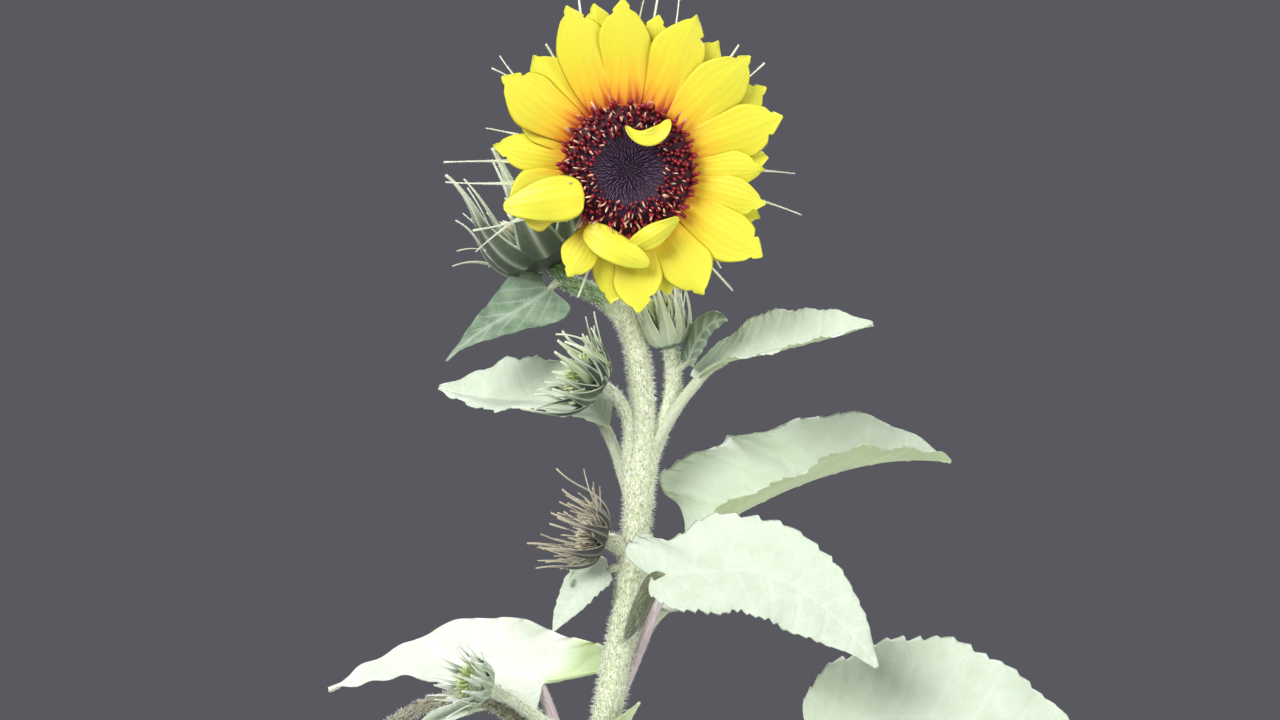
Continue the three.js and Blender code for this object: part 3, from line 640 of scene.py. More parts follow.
# What a leaf has unless its own row says otherwise. Its outline is the swell and taper; the stalk is
# stouter, ridged and flared towards the stem, whose tones it merges into; lit is the half that shows its
# underside's colour over a share from its foot, painted light where light shines through the blade; a spot
# is a dark bite (share, across, size).
PLAIN_LEAF = dict(
    teeth=20, tooth=0.12, waves=None, notches=(), sweep=0.3, pairs=7, outline=(0.5, 1.15), hook=0,
    skin=LEAF_SKIN, vein=0.3, hue=0.0, under=1, lit=(0, 1), spot=(0, 9, 1), bearing=None,
    stalk=STALK_SKIN, stout=1, ridge=0.02, flare=(0.3, 5), merge=3.5,
)
MARGIN_KEYS = ("teeth", "tooth", "waves", "notches", "sweep", "pairs")
LEAF_DETAIL = {
    "right_upper": dict(teeth=24, tooth=0.16, waves=1.8, outline=(1.05, 1.0)),
    "left_upper": dict(teeth=17, waves=2.6, outline=(0.85, 1.0), notches=[(-1, 0.55, 0.05, 0.2)]),
    "right_large": dict(
        teeth=24, tooth=0.14, waves=3.2, outline=(0.75, 1.05), hook=2.4, stalk=PINK_STALK,
        notches=[(1, 0.48, 0.02, -0.25), (1, 0.42, 0.03, 0.16), (1, 0.55, 0.035, 0.2), (1, 0.22, 0.04, 0.14)],
    ),
    "right_front": dict(
        teeth=22, tooth=0.13, waves=2.6, outline=(0.55, 1.1), bearing=-18, stalk=DARK_STALK, stout=1.25,
        ridge=0.07, flare=(-0.7, 18), merge=1.6, notches=[(1, 0.26, 0.08, 0.4), (-1, 0.25, 0.35, 0.3)],
    ),
    # The large left leaf's paler skin and its underside colour cut to 0.4 are painted light: they lift its
    # folded, shaded half to a sunlit white.
    "left_large": dict(
        teeth=18, tooth=0.1, waves=2.4, outline=(0.25, 1.5), notches=[(1, 0.3, 0.6, 0.55)],
        skin=SUNLIT_LEAF_SKIN, under=0.4, lit=(-1, 0.24), stalk=PINK_STALK,
    ),
    "left_small": dict(teeth=9, tooth=0.16, waves=1.0, outline=(0.4, 1.0), spot=(0.42, -0.45, 0.05)),
    "right_lower": dict(teeth=24, waves=3.0, outline=(0.8, 1.1)),
    "front_small": dict(teeth=11, tooth=0.14, waves=1.0),
    "behind_bract": dict(
        teeth=13, tooth=0.03, waves=1.6, outline=(0.2, 1.6), hue=0.3, sweep=0.8, pairs=4, skin=MOTTLED_SKIN
    ),
    "right_bract": dict(
        teeth=8, tooth=0.16, waves=1.4, outline=(0.5, 1.0), vein=0.6, hue=0.3, sweep=0.6, pairs=4,
        skin=MOTTLED_SKIN,
    ),
}
SPINE_DROPS = {0.01: 0.95, 0.05: 0.95, 0.1: 0.8, 0.2: 0.45}
STALK_SIDES = 24
STALK_RINGS = 90
STALK_HAIRS = {"per_square_mm": 0.7, "length": 1.3, "width": 0.13}
LEAF_THICKNESS = 0.5
FINE_GRID = (200, 40)
PLAIN_GRID = (96, 24)
FINE_LENGTH = 60
stalk_hairs = Heap()


def leaf(name, foot, within, seed, row, swing=0.0, curl=0):
    """One leaf: its stalk from the stem, its blade from the stalk's end, both by the same growing rule.
    The stalk is flared at its foot, grooved above, and thins fast where it runs on under the blade."""
    bearing, rises, stretches, stalk, plate_rises, plate_stretches, half_width, fold, roll, lobe = row
    detail = {**PLAIN_LEAF, **LEAF_DETAIL.get(name, {})}
    stalk_line = GrowingLine(foot, bearing, rises, stretches)
    stalk_end = stalk_line.frames(np.array(stalk_line.total))[0]
    plate_line = GrowingLine(stalk_end, detail["bearing"] or bearing, plate_rises, plate_stretches, swing)
    knots = list(stalk_line.frames(stalk_line.total * np.array([0, 0.25, 0.5, 0.75]))[0])
    lean = np.radians(roll)
    for share, drop in SPINE_DROPS.items():
        at, side, normal, _ = plate_line.frames(np.array(plate_line.total * share))
        knots.append(at - drop * stalk * (normal * np.cos(lean) - side * np.sin(lean)))
    spine = evenly(smooth_path(np.array(knots)), STALK_RINGS)
    share = np.linspace(0, 1, STALK_RINGS)
    run = share * np.linalg.norm(np.diff(spine, axis=0), axis=1).sum()
    under_plate = np.clip((run - stalk_line.total) / (run[-1] - stalk_line.total), 0, 1)
    radius = stalk * detail["stout"] * (1.05 - 0.1 * share - 0.7 * under_plate**0.6)
    flare, spread = detail["flare"]
    radius = radius * (1 + flare * np.exp(-(((run - within) / spread) ** 2)))
    shown = run > SUNK_IN * within
    angle = turns(STALK_SIDES)
    groove = 0.12 * np.exp(-(((angle - np.pi / 2) / 0.5) ** 2))
    grooved = radius[:, None] * (1 - groove + detail["ridge"] * np.cos(6 * angle))
    hint = stalk_line.side[0]
    stalk_heap = Heap()
    merged = merging(run[shown], within, STALK_SIDES, detail["merge"] * stalk)
    stalk_heap.add(*tube(spine[shown], grooved[shown], STALK_SIDES, hint), foot=merged)
    detail["waves"] = detail["waves"] or 0.02 * plate_line.total
    reach_at, relief = leaf_parts(half_width, seed, **{key: detail[key] for key in MARGIN_KEYS})
    grid = FINE_GRID if name in LEAF_DETAIL and plate_line.total > FINE_LENGTH else PLAIN_GRID
    points, faces, uv, spots, below, lines = blade(
        plate_line, grid, LEAF_THICKNESS, lambda t: half_width * leaf_outline(t, *detail["outline"]), relief,
        reach_at, fold, curl, lobe, roll, hook=detail["hook"],
    )
    lines = lines * detail["vein"]
    # Painted light: the lit half takes its underside's lighter colour near the foot, where light shines
    # through the blade.
    lit_half, lit_share = detail["lit"]
    shining = np.clip(0.5 + 4 * (lit_half * spots[:, 1] - spots[:, 0] / lit_share), 0, 1) * (lit_half != 0)
    at_t, at_v, size = detail["spot"]
    bite = np.exp(-((((spots[:, 0] - at_t) / size) ** 2 + ((spots[:, 1] - at_v) / (3 * size)) ** 2) ** 2))
    sheet = Heap()
    sheet.add(
        points, faces, uv, below=np.maximum(below * detail["under"], shining),
        veins=two_faces(lines, lines).ravel(), hue=np.maximum(bite, detail["hue"]),
    )
    sheet.piece(f"leaf_{name}_blade", detail["skin"], "leaf", [f"leaf_{name}"])
    stalk_heap.piece(f"leaf_{name}_stalk", detail["stalk"], "leaf")
    tube_hairs(stalk_hairs, spine[shown], radius[shown], **STALK_HAIRS, hint=hint)


def between(low, high, share):
    """Values at a share of the way from low ones to high ones."""
    return np.array(low) + np.subtract(high, low) * share


for seed, (name, (height, *row)) in enumerate(UPPER_LEAVES.items()):
    leaf(name, *stem_at(height), seed, row)
for i in range(LOWER_LEAVES["count"]):
    share = i / (LOWER_LEAVES["count"] - 1)
    vigour = np.sin(np.pi * (0.25 + 0.65 * share))
    length = np.interp(vigour, [0, 1], LOWER_LEAVES["blades"])
    row = (
        LOWER_LEAVES["first_bearing"] + i * LOWER_LEAVES["turn"], between((30, 10), (56, 40), share),
        [np.interp(vigour, [0, 1], LOWER_LEAVES["stalks"])], 2.6 + 0.8 * vigour,
        between((-2, -24, -60), (24, 0, -34), share), [length * 0.4, length * 0.6], length * 0.36,
        14 + 6 * np.sin(2 * i), 8 * np.sin(3 * i + 1), 0.9,
    )
    place = stem_at(between(*LOWER_LEAVES["heights"], share))
    leaf(f"stem_{i + 1:02d}", *place, len(UPPER_LEAVES) + i, row, 12 * np.sin(5 * i), LOWER_LEAVES["curl"])
for seed, (name, (branch, share, *row)) in enumerate(BRANCH_LEAVES.items()):
    line = branch_lines[branch]
    leaf(name, line.frames(np.array(share * line.total))[0], 3.5, seed + 30, row)
stalk_hairs.piece("stalk_hairs", HAIR_WHITE, "leaf")


# The buds: a round green core, packed with closed florets, in whorls of narrow bracts that end in whips.
# The bracts are hairy along both margins.
BUD_SKIN = leaf_skin(
    "BudSkin", (0.44, 0.56, 0.26), (0.42, 0.54, 0.28), (0.76, 0.83, 0.62), (0.02, 0.045, 0.025), sheen=0.03
)
DUSKY_SKIN = leaf_skin(
    "DuskySkin", (0.36, 0.48, 0.3), (0.4, 0.5, 0.3), (0.74, 0.8, 0.62), (0.022, 0.03, 0.026),
    (0.5, 0.62, 0.5), 0.05,
)
RUSTY_SKIN = leaf_skin(
    "RustySkin", (0.34, 0.17, 0.12), (0.36, 0.24, 0.16), (0.56, 0.5, 0.36), (0.035, 0.05, 0.06),
    (0.5, 0.5, 0.5), 0.05,
)
PALE_SKIN = leaf_skin(
    "PaleSkin", (0.72, 0.79, 0.64), (0.66, 0.74, 0.52), (0.88, 0.92, 0.82), (0.2, 0.3, 0.18), sheen=0.1
)


def shade_group():
    """A floret's colour, darkened by the floret's own tint, and the height of a fine grain on it."""
    group, given, out = shader_group("FloretShade", ("Color",), ("Tint",))
    shade = {0: given["Color"], "Scale": ranged(group, given["Tint"], 0.0, 1.0, 0.4, 1.25)}
    group.links.new(put(group, "VectorMath", shade, operation="SCALE").outputs[0], out["Color"])
    group.links.new(noise(group, given["Vector"], 900.0, 3.0), out["Height"])
    return group


FLORET_SHADE = shade_group()


def colour_ramp(tree, factor, stops):
    """Colours that follow each other by a factor, each at its own stop."""
    ramp = put(tree, "ValToRGB", {"Fac": factor})
    while len(ramp.color_ramp.elements) < len(stops):
        ramp.color_ramp.elements.new(0.5)
    for element, (position, colour) in zip(ramp.color_ramp.elements, stops):
        element.position = position
        element.color = (*colour, 1)
    return ramp.outputs[0]


def floret_skin(name, stops, roughness):
    """A floret's skin: its colours follow each other from foot to tip, with a little of each floret's own."""
    material, tree = new_skin(name, roughness)
    colour = colour_ramp(tree, layer(tree, "along"), stops)
    given = {"Color": colour, "Tint": layer(tree, "tint"), "Vector": object_place(tree)}
    shade = put(tree, "Group", given, node_tree=FLORET_SHADE).outputs
    wear(tree, shade["Color"], shade["Height"], 0.5, 0.0002)
    return material


GREEN_FLORETS = floret_skin(
    "GreenFlorets", [(0.0, (0.2, 0.3, 0.08)), (0.5, (0.46, 0.58, 0.2)), (1.0, (0.74, 0.8, 0.46))], 0.6
)
CREAM_FLORETS = floret_skin(
    "CreamFlorets", [(0.0, (0.16, 0.2, 0.08)), (0.5, (0.5, 0.48, 0.3)), (1.0, (0.86, 0.8, 0.66))], 0.6
)
# What a bud has unless its own row says otherwise: how many whorls of bracts, how many more and how much
# narrower these are, their spread and bow, how green they are and how mixed, and its sepals. Each extra
# bract has its bearing, length, half width, rises and hue.
BUD_LOOK = dict(
    whorls=2, more=1, narrow=0.8, spread=0.38, bow=10, hue=0.3, mixed=0.4, dark=0.75, sepal=1.0,
    sepal_foot=0.7, sepal_rises=(30, 78, 96, 60), extra=(), skin=BUD_SKIN, florets=GREEN_FLORETS,
)
BUD_LOOKS = {
    "behind": dict(
        spread=0.48, narrow=1.0, bow=20, hue=0.0, dark=0.8, skin=DUSKY_SKIN, sepal=1.35, sepal_foot=0.9,
        sepal_rises=(20, 62, 92, 50), florets=CREAM_FLORETS,
    ),
    "left": dict(
        more=0.5, spread=0.6, narrow=1.3, hue=0.1, mixed=0.9, dark=1.0, sepal=1.05, sepal_foot=0.9,
        sepal_rises=(16, 70, 90, 50),
        extra=[
            (80, 36, 8.0, (50, 92, 120), 0.0), (30, 34, 7.0, (30, 84, 110), 0.0),
            (75, 31, 2.4, (56, 46, 40), 0.0), (58, 26, 4.6, (36, 62, 62), 1.0),
            (22, 28, 4.6, (30, 62, 62), 1.0), (275, 40, 9.0, (16, 70, 74), 1.0),
            (325, 34, 7.0, (16, 66, 70), 0.9),
        ],
    ),
    "right": dict(whorls=4, narrow=0.6, hue=0.0, mixed=0.25, dark=0.1, skin=PALE_SKIN, sepal=1.1),
    "short": dict(
        whorls=6, more=1.4, narrow=0.42, spread=0.3, bow=20, hue=0.0, mixed=0.3, dark=0.9, skin=RUSTY_SKIN,
        sepal=1.9, sepal_foot=1.0, sepal_rises=(10, 58, 84, 60), florets=CREAM_FLORETS,
    ),
    "lower_left": dict(skin=PALE_SKIN, spread=0.45, sepal_foot=0.9),
}
BUD_CORE_SIDES = 48
CORE_RINGS = 30
BRACT_FOLD = 12
BRACT_HAIRS = {"length": 1.3, "width": 0.12, "tilt": 0.5}
TINY = 1e-6


def bract_outline(t, spread):
    """Half a bract's width as a share of its greatest: broad over a spread from its foot, then a whip."""
    return 0.06 + 0.14 * (1 - t) + 0.9 * np.exp(-((t / spread) ** 2))


def bract(
    heap, place, angle, foot, height, rises, stretches, swing, half_width, thickness, fringe,
    rows=20, columns=6, hue=0.0, spread=0.38,
):
    """One bract in its bud's own frame, then put in place, with hairs along its margins."""
    start = (foot * np.cos(np.radians(angle)), foot * np.sin(np.radians(angle)), height)
    line = GrowingLine(start, angle, rises, stretches, swing)

    def relief(t, v, width, total):
        rib = np.exp(-((v * width / 0.7) ** 2))
        return 0.25 * np.sin(9 * t + angle) * np.abs(v), -0.12 * rib, 0.25 * rib

    points, faces, uv, spots, below = blade(
        line, (rows, columns), thickness, lambda t: half_width * bract_outline(t, spread), relief,
        fold=BRACT_FOLD,
    )
    points = place(points)
    along, across = spots[:, 0], np.abs(spots[:, 1])
    whip = np.clip((along - spread) / 0.4, 0, 1)
    pale = 0.5 * np.exp(-((across / 0.12) ** 2)) + np.clip((across - 0.84) / 0.16, 0, 1) + whip
    heap.add(points, faces, uv, below=below, veins=np.clip(pale, 0, 1), hue=hue)
    margin = points[np.abs(across - 1) < TINY]
    centre = np.repeat(points[(across < TINY) & (below == 0)], 2, axis=0)
    pick = random.integers(0, len(margin) - 2, fringe)
    part = random.uniform(0, 1, (fringe, 1))
    roots = margin[pick] * (1 - part) + margin[pick + 2] * part
    hairs(bract_hairs, roots, unit(margin[pick] - centre[pick] + TINY), **BRACT_HAIRS)


def turned(profile, sides, place):
    """A solid turned about its own axis from a profile of radii and heights, closed at both poles."""
    radius, height = np.array(profile, float).T
    angle = turns(sides)
    far, up = radius[1:-1, None], np.repeat(height[1:-1, None], sides, axis=1)
    ring = np.stack([far * np.cos(angle), far * np.sin(angle), up], -1)
    count = len(profile) - 2
    points = np.vstack([ring.reshape(-1, 3), [(0, 0, height[0])], [(0, 0, height[-1])]])
    j = np.arange(sides)
    k = (j + 1) % sides
    last = (count - 1) * sides
    low = np.stack([np.full(sides, count * sides), k, j], -1)
    high = np.stack([np.full(sides, count * sides + 1), last + j, last + k], -1)
    uv = np.column_stack([points[:, 0], points[:, 1] + points[:, 2]]) * UV_SCALE
    return place(points), [grid_faces(count, sides), low, high], uv


def smooth_profile(corners, count):
    """A smooth profile through corners."""
    return evenly(smooth_path(np.array([(r, 0, z) for r, z in corners], float), 12), count)[:, [0, 2]]


GOLDEN_ANGLE = 137.508


def strand(bends, lengths, radii, sides, rings_count):
    """A slim closed tube in the plane of X and Z that starts up +Z and bends by angles, as points, faces
    and each point's share of its way."""
    way = np.linspace(0, sum(lengths), rings_count)
    angle = np.radians(np.interp(way, np.r_[0, np.cumsum(lengths)], bends))
    steps = np.stack([np.sin(angle), 0 * way, np.cos(angle)], -1)[:-1] * way[1]
    path = np.cumsum(np.vstack([np.zeros(3), steps]), 0)
    radius = np.interp(np.linspace(0, 1, rings_count), np.linspace(0, 1, len(radii)), radii)
    points, faces, _ = tube(path, radius, sides)
    return points, faces, np.repeat(way / way[-1], sides)


def sow(heap, template, at, turn, lean, size, tint, place):
    """Copies of a template in a bud's or flower's own frame: each is scaled, leans out from the axis, is
    turned about it and set in its spot, and all are put in place."""
    points, faces, along = template
    cl, sl = np.cos(lean)[:, None], np.sin(lean)[:, None]
    x, y, z = (points[:, k] * size[:, None] for k in range(3))
    out, up = x * cl + z * sl, z * cl - x * sl
    ct, st = np.cos(turn)[:, None], np.sin(turn)[:, None]
    placed = np.stack([out * ct - y * st, out * st + y * ct, up], -1) + at[:, None]
    count, each = len(at), len(points)
    shift = each * np.arange(count)[:, None, None]
    heap.add(
        place(placed.reshape(-1, 3)), [(block + shift).reshape(-1, block.shape[1]) for block in faces],
        np.zeros((count * each, 2)), along=np.tile(along, count), tint=np.repeat(tint, each),
    )


def spiral(first, last, spacing, jitter=0.0):
    """Places in the golden spiral of a flower head between two radii, and their bearings about its axis."""
    low, high = (first / spacing) ** 2, (last / spacing) ** 2
    n = np.arange(int(low), int(high))
    away = spacing * np.sqrt(n + 0.5)
    bearing = np.radians(GOLDEN_ANGLE) * n + jitter * random.normal(size=len(n))
    return np.column_stack([away * np.cos(bearing), away * np.sin(bearing), 0 * away]), bearing, away


CLOSED_FLORET = strand([0, 8], [5], [0.5, 0.62, 0.6, 0.45, 0.06], 5, 6)
SEPALS = 9
BROAD_BRACT = dict(thickness=0.6, fringe=40, rows=34, columns=12, spread=0.5)
bract_hairs = Heap()
for number, (name, branch) in enumerate(BRANCHES.items()):
    *_, (_, foot), (radius, height), bract_count, length, bract_width, rises = branch
    line = branch_lines[name]
    at, side, normal, tangent = (part[0] for part in line.frames(np.array([line.total])))
    basis = np.stack([side, normal, tangent])
    origin = at + GAP * tangent

    def place(points, basis=basis, origin=origin):
        return points @ basis + origin

    bud = Heap()
    profile = smooth_profile(
        [(0.01, 0), (foot, 0), (radius * 0.86, height * 0.2), (radius, height * 0.5),
         (radius * 0.8, height * 0.85), (0.01, height)], CORE_RINGS
    )
    # The core's hue of 0.9 mixes in the skin's dark green: painted shade in the deep hollow between the
    # bracts.
    bud.add(*turned(profile, BUD_CORE_SIDES, place), below=0.0, veins=0.0, hue=0.9)
    look = {**BUD_LOOK, **BUD_LOOKS.get(name, {})}
    count = int(bract_count * look["more"])
    for whorl in range(look["whorls"]):
        outer = whorl < 3
        share = 1 - 0.17 * whorl if outer else 0.9 - 0.1 * whorl
        for i in range(count):
            raise_by = look["bow"] * np.sin(1.7 * i * i + 2 + whorl)
            stretch = length * share * (0.55 + 0.1 * np.sin(2.4 * i * i + 1 + 2 * whorl))
            bract(
                bud, place, angle=360 * (i + 0.5 * whorl) / count,
                foot=radius * (0.5 + 0.12 * whorl if outer else 0.9 - 0.15 * whorl),
                height=height * (0.24 - 0.1 * whorl) if whorl < 2 else 0.3 * height,
                rises=[rises[0], rises[1] + raise_by - 6 * (whorl % 3), rises[2] + 2 * raise_by],
                stretches=[length * 0.45 * share, stretch], swing=22 * np.sin(3.1 * i + 0.5 + whorl),
                half_width=bract_width * look["narrow"], thickness=0.45, fringe=24,
                hue=look["hue"] + look["mixed"] * (np.sin(5 * i + 2 * whorl) > 0.3), spread=look["spread"],
            )
    for i in range(SEPALS):
        reach = height * (1.05 + 0.2 * np.sin(2.3 * i + number)) * look["sepal"]
        bract(
            bud, place, angle=360 * (i + 0.3) / SEPALS, foot=radius * look["sepal_foot"],
            height=height * 0.06, rises=look["sepal_rises"], swing=10 * np.sin(4 * i),
            stretches=[reach * 0.4, reach * 0.5, reach * 0.6], half_width=radius * 0.52, hue=look["dark"],
            **BROAD_BRACT,
        )
    for angle, reach, half_width, broad_rises, hue in look["extra"]:
        bract(
            bud, place, angle=angle, foot=radius, height=height * 0.1, rises=broad_rises,
            stretches=[reach / 2, reach / 2], swing=8, half_width=half_width, hue=hue, **BROAD_BRACT,
        )
    at, bearing, away = spiral(0.2, 0.78 * radius, radius / 11)
    at[:, 2] = height * np.sqrt(1 - 0.75 * (away / radius) ** 2) - 0.8
    packed = Heap()
    size = radius / 10 * random.uniform(0.8, 1.2, len(at))
    sow(packed, CLOSED_FLORET, at, bearing, 0.9 * away / radius, size, random.uniform(0.3, 1, len(at)), place)
    packed.piece(f"bud_{name}_florets", look["florets"], "bud")
    bud.piece(f"bud_{name}_bracts", look["skin"], "bud", [f"bud_{name}"])


# The open flower's cup: a shallow green dish behind the disc, with the long bracts that stand out
# between the rays. All its parts are placed in the flower's own frame, +Z towards the viewer.
FLOWER_AT = np.array([46.5, -30, 1070])
FLOWER_NOD = 6
CUP = dict(back=15.9, front=3, bract_foot=22, bract_width=4.2)
CUP_SIDES = 64
CUP_RINGS = 48
# Each whorl of sepals on the cup's back has its count, foot, height, half width and rises.
CUP_SEPALS = [
    (9, 6.4, -21.5, 3.0, (56, 30, 6)), (15, 9, -16.6, 5.2, (18, 26, 10)),
    (18, 14, -14.8, 5.0, (22, 30, -6)), (21, 19.5, -12.6, 4.4, (26, 24, -16)),
]
# Each long bract has its bearing, its reach and the rise of its whip-like tip.
FLOWER_BRACTS = [
    (174, 95, 6), (160, 76, -4), (147, 90, 2), (136, 87, 0), (125, 76, 4), (112, 91, 2), (101, 72, -4),
    (91, 89, 4), (81, 88, -2), (67, 93, 3), (53, 82, 0), (44, 84, 4), (36, 90, -4), (27, 77, 2), (14, 72, -4),
    (2, 86, 5),
    (-10, 91, 0), (-25, 68, -3), (-40, 69, 2), (-50, 82, -2), (-62, 70, 3), (-78, 62, 0), (-95, 62, 3),
    (-113, 70, 0), (-152, 86, 6), (-161, 92, 2), (-172, 94, -1),
]
nod = np.radians(FLOWER_NOD)
flower_axis = np.array([0, -np.cos(nod), -np.sin(nod)])
flower_right = np.array([1.0, 0, 0])
flower_basis = np.stack([flower_right, np.cross(flower_axis, flower_right), flower_axis])


def in_flower(points):
    """Points of the flower's own frame, in the plant's."""
    return points @ flower_basis + FLOWER_AT


WHIP_SKIN = leaf_skin("WhipSkin", (0.6, 0.68, 0.42), (0.5, 0.6, 0.34), (0.82, 0.86, 0.7), (0.16, 0.26, 0.12))
cup = Heap()
back, front = CUP["back"], CUP["front"]
cup_profile = smooth_profile(
    [(0.01, -back - 7), (6.3, -back - 7), (6.9, -back - 3), (9, -back), (17, 3.5 - back), (26, 8 - back),
     (30, -front - 1.2), (30, -front), (0.01, -front)], CUP_RINGS
)
cup.add(*turned(cup_profile, CUP_SIDES, in_flower), below=0.0, veins=0.0, hue=0.7)
for i, (angle, reach, tip) in enumerate(FLOWER_BRACTS):
    stretch = (reach - CUP["bract_foot"]) / 2
    bow = 12 * np.sin(1.9 * i + 1)
    bract(
        cup, in_flower, angle=angle, foot=CUP["bract_foot"], height=-front - 6 - 1.4 * (i % 2),
        rises=[-10 - bow, -6 + 0.5 * bow, tip + 2 * bow], stretches=[1.01 * stretch, 1.01 * stretch],
        swing=24 * np.sin(2.3 * i + 0.4), half_width=CUP["bract_width"], thickness=0.6, fringe=70, rows=44,
    )
for whorl, (count, foot, height, half_width, rises) in enumerate(CUP_SEPALS):
    for i in range(count):
        reach = 26 + 4 * np.sin(2.7 * i + whorl)
        bract(
            cup, in_flower, angle=360 * (i + 0.37 * whorl) / count, foot=foot, height=height,
            rises=[rises[0], rises[1], rises[2] + 14 * np.sin(3.3 * i + whorl)],
            stretches=[reach / 2, reach / 2], swing=10 * np.sin(1.7 * i), half_width=half_width,
            thickness=0.7, fringe=40, rows=30, columns=10, hue=0.45 + 0.3 * np.sin(2.1 * i), spread=0.6,
        )
cup.piece("cup_bracts", WHIP_SKIN, "bud", ["flower_cup"])
bract_hairs.piece("bract_hairs", HAIR_WHITE, "bud")


# The rays: two whorls of yellow petals, one behind the other, that broaden fast, keep their width and end
# in a short notched point. They are golden at the foot, with red-brown streaks where they meet the disc.
DISC = dict(radius=32, boss=21, rise=5.4)
DISC_SIDES = 96
RAY = dict(foot=30, thickness=0.35, twist=8, fold=-5, broad=1.18, grid=(56, 24))
# Each loose petal has its foot, bearing, swing, rises, stretches, half width, belly, roll and fold.
LOOSE_PETALS = [
    ((19, 24.5, 7.6), 262, -145, [24, 6, -8], [13, 14.5], 3.9, 0.8, 12, 14),
    ((-22, -13, 11.6), 184, 8, [4, -8, -12], [20, 21], 10.5, 0.6, 4, -8),
    ((-22, -29, 4.6), -34, 10, [26, 6, -22], [19, 19], 7.5, 0.75, -10, -12),
    ((0, -39, 6), 22, 20, [26, 10, -8], [15, 15], 5.5, 0.75, 14, -14),
]
LOOSE_GRID = (40, 16)
RAY_RING = dict(inner=DISC["boss"] + GAP + 0.1, outer=33, depth=1, sides=96)
# Each ray has its bearing, reach, half width, lean and its tip's lean.
FRONT_RAYS = [
    (111, 86, 11.5, 10, 0), (92, 84, 11, 10, 2), (66, 83, 11.5, 11, 0), (43, 82, 11.5, 11, 4),
    (19, 81, 11, 10, 0), (0, 68, 7.5, 12, 2), (-14, 71, 8, 15, 16), (-33, 80, 11, 14, 4),
    (-59, 73, 11, 12, 0), (-86, 72, 10.5, 12, -6), (-120, 62, 8, 16, 10), (-163, 64, 13, 16, 30),
    (144, 78, 11.5, 12, 2),
]
BACK_RAYS = [
    (102, 84, 11.5, -1, -6), (79, 78, 11, -1, -6), (55, 78, 11, -1, -6), (31, 80, 11, -1, -6),
    (5, 70, 10, 2, 0), (-20, 70, 10, 2, 0), (-46, 62, 10, 0, 0), (-72, 66, 10, 0, -8), (-98, 68, 10, 0, -8),
    (170, 69, 7.5, 4, 0), (153, 62, 8.5, 2, 0), (130, 74, 11.5, 0, -4),
]


def ray_skin():
    """A petal's skin: yellow, golden towards the foot and red-brown at it, in streaks that run along it."""
    material, tree = new_skin("RayYellow", 0.5)
    drawn = put(tree, "Mapping", {"Vector": mesh_uv(tree), "Scale": (22, 1.6, 1)}).outputs[0]
    streaks = noise(tree, drawn, 1.0, 3.0)
    moved = added(tree, layer(tree, "along"), ranged(tree, streaks, 0.25, 0.75, 0.12, -0.12))
    place = added(tree, moved, ranged(tree, layer(tree, "tint"), 0.0, 1.0, 0.16, 0.0))
    stops = [
        (0.0, (0.2, 0.015, 0.004)), (0.07, (0.5, 0.08, 0.006)), (0.15, (0.76, 0.28, 0.01)),
        (0.28, (0.8, 0.5, 0.018)), (0.52, (0.77, 0.66, 0.03)), (1.0, (0.74, 0.72, 0.05)),
    ]
    wear(tree, colour_ramp(tree, place, stops), streaks, 0.35, 0.0004)
    return material


RAY_SKIN = ray_skin()


def ray_outline(t):
    """Half a petal's width as a share of its greatest: it widens from the foot, is widest at two thirds of
    the way and then draws in by nearly straight sides to a short point."""
    return 0.03 + (1 - 0.55 * (1 - t) ** 2) * (1 - np.clip((t - 0.56) / 0.44, 0, 1) ** 1.8) ** 1.1 * 1.12


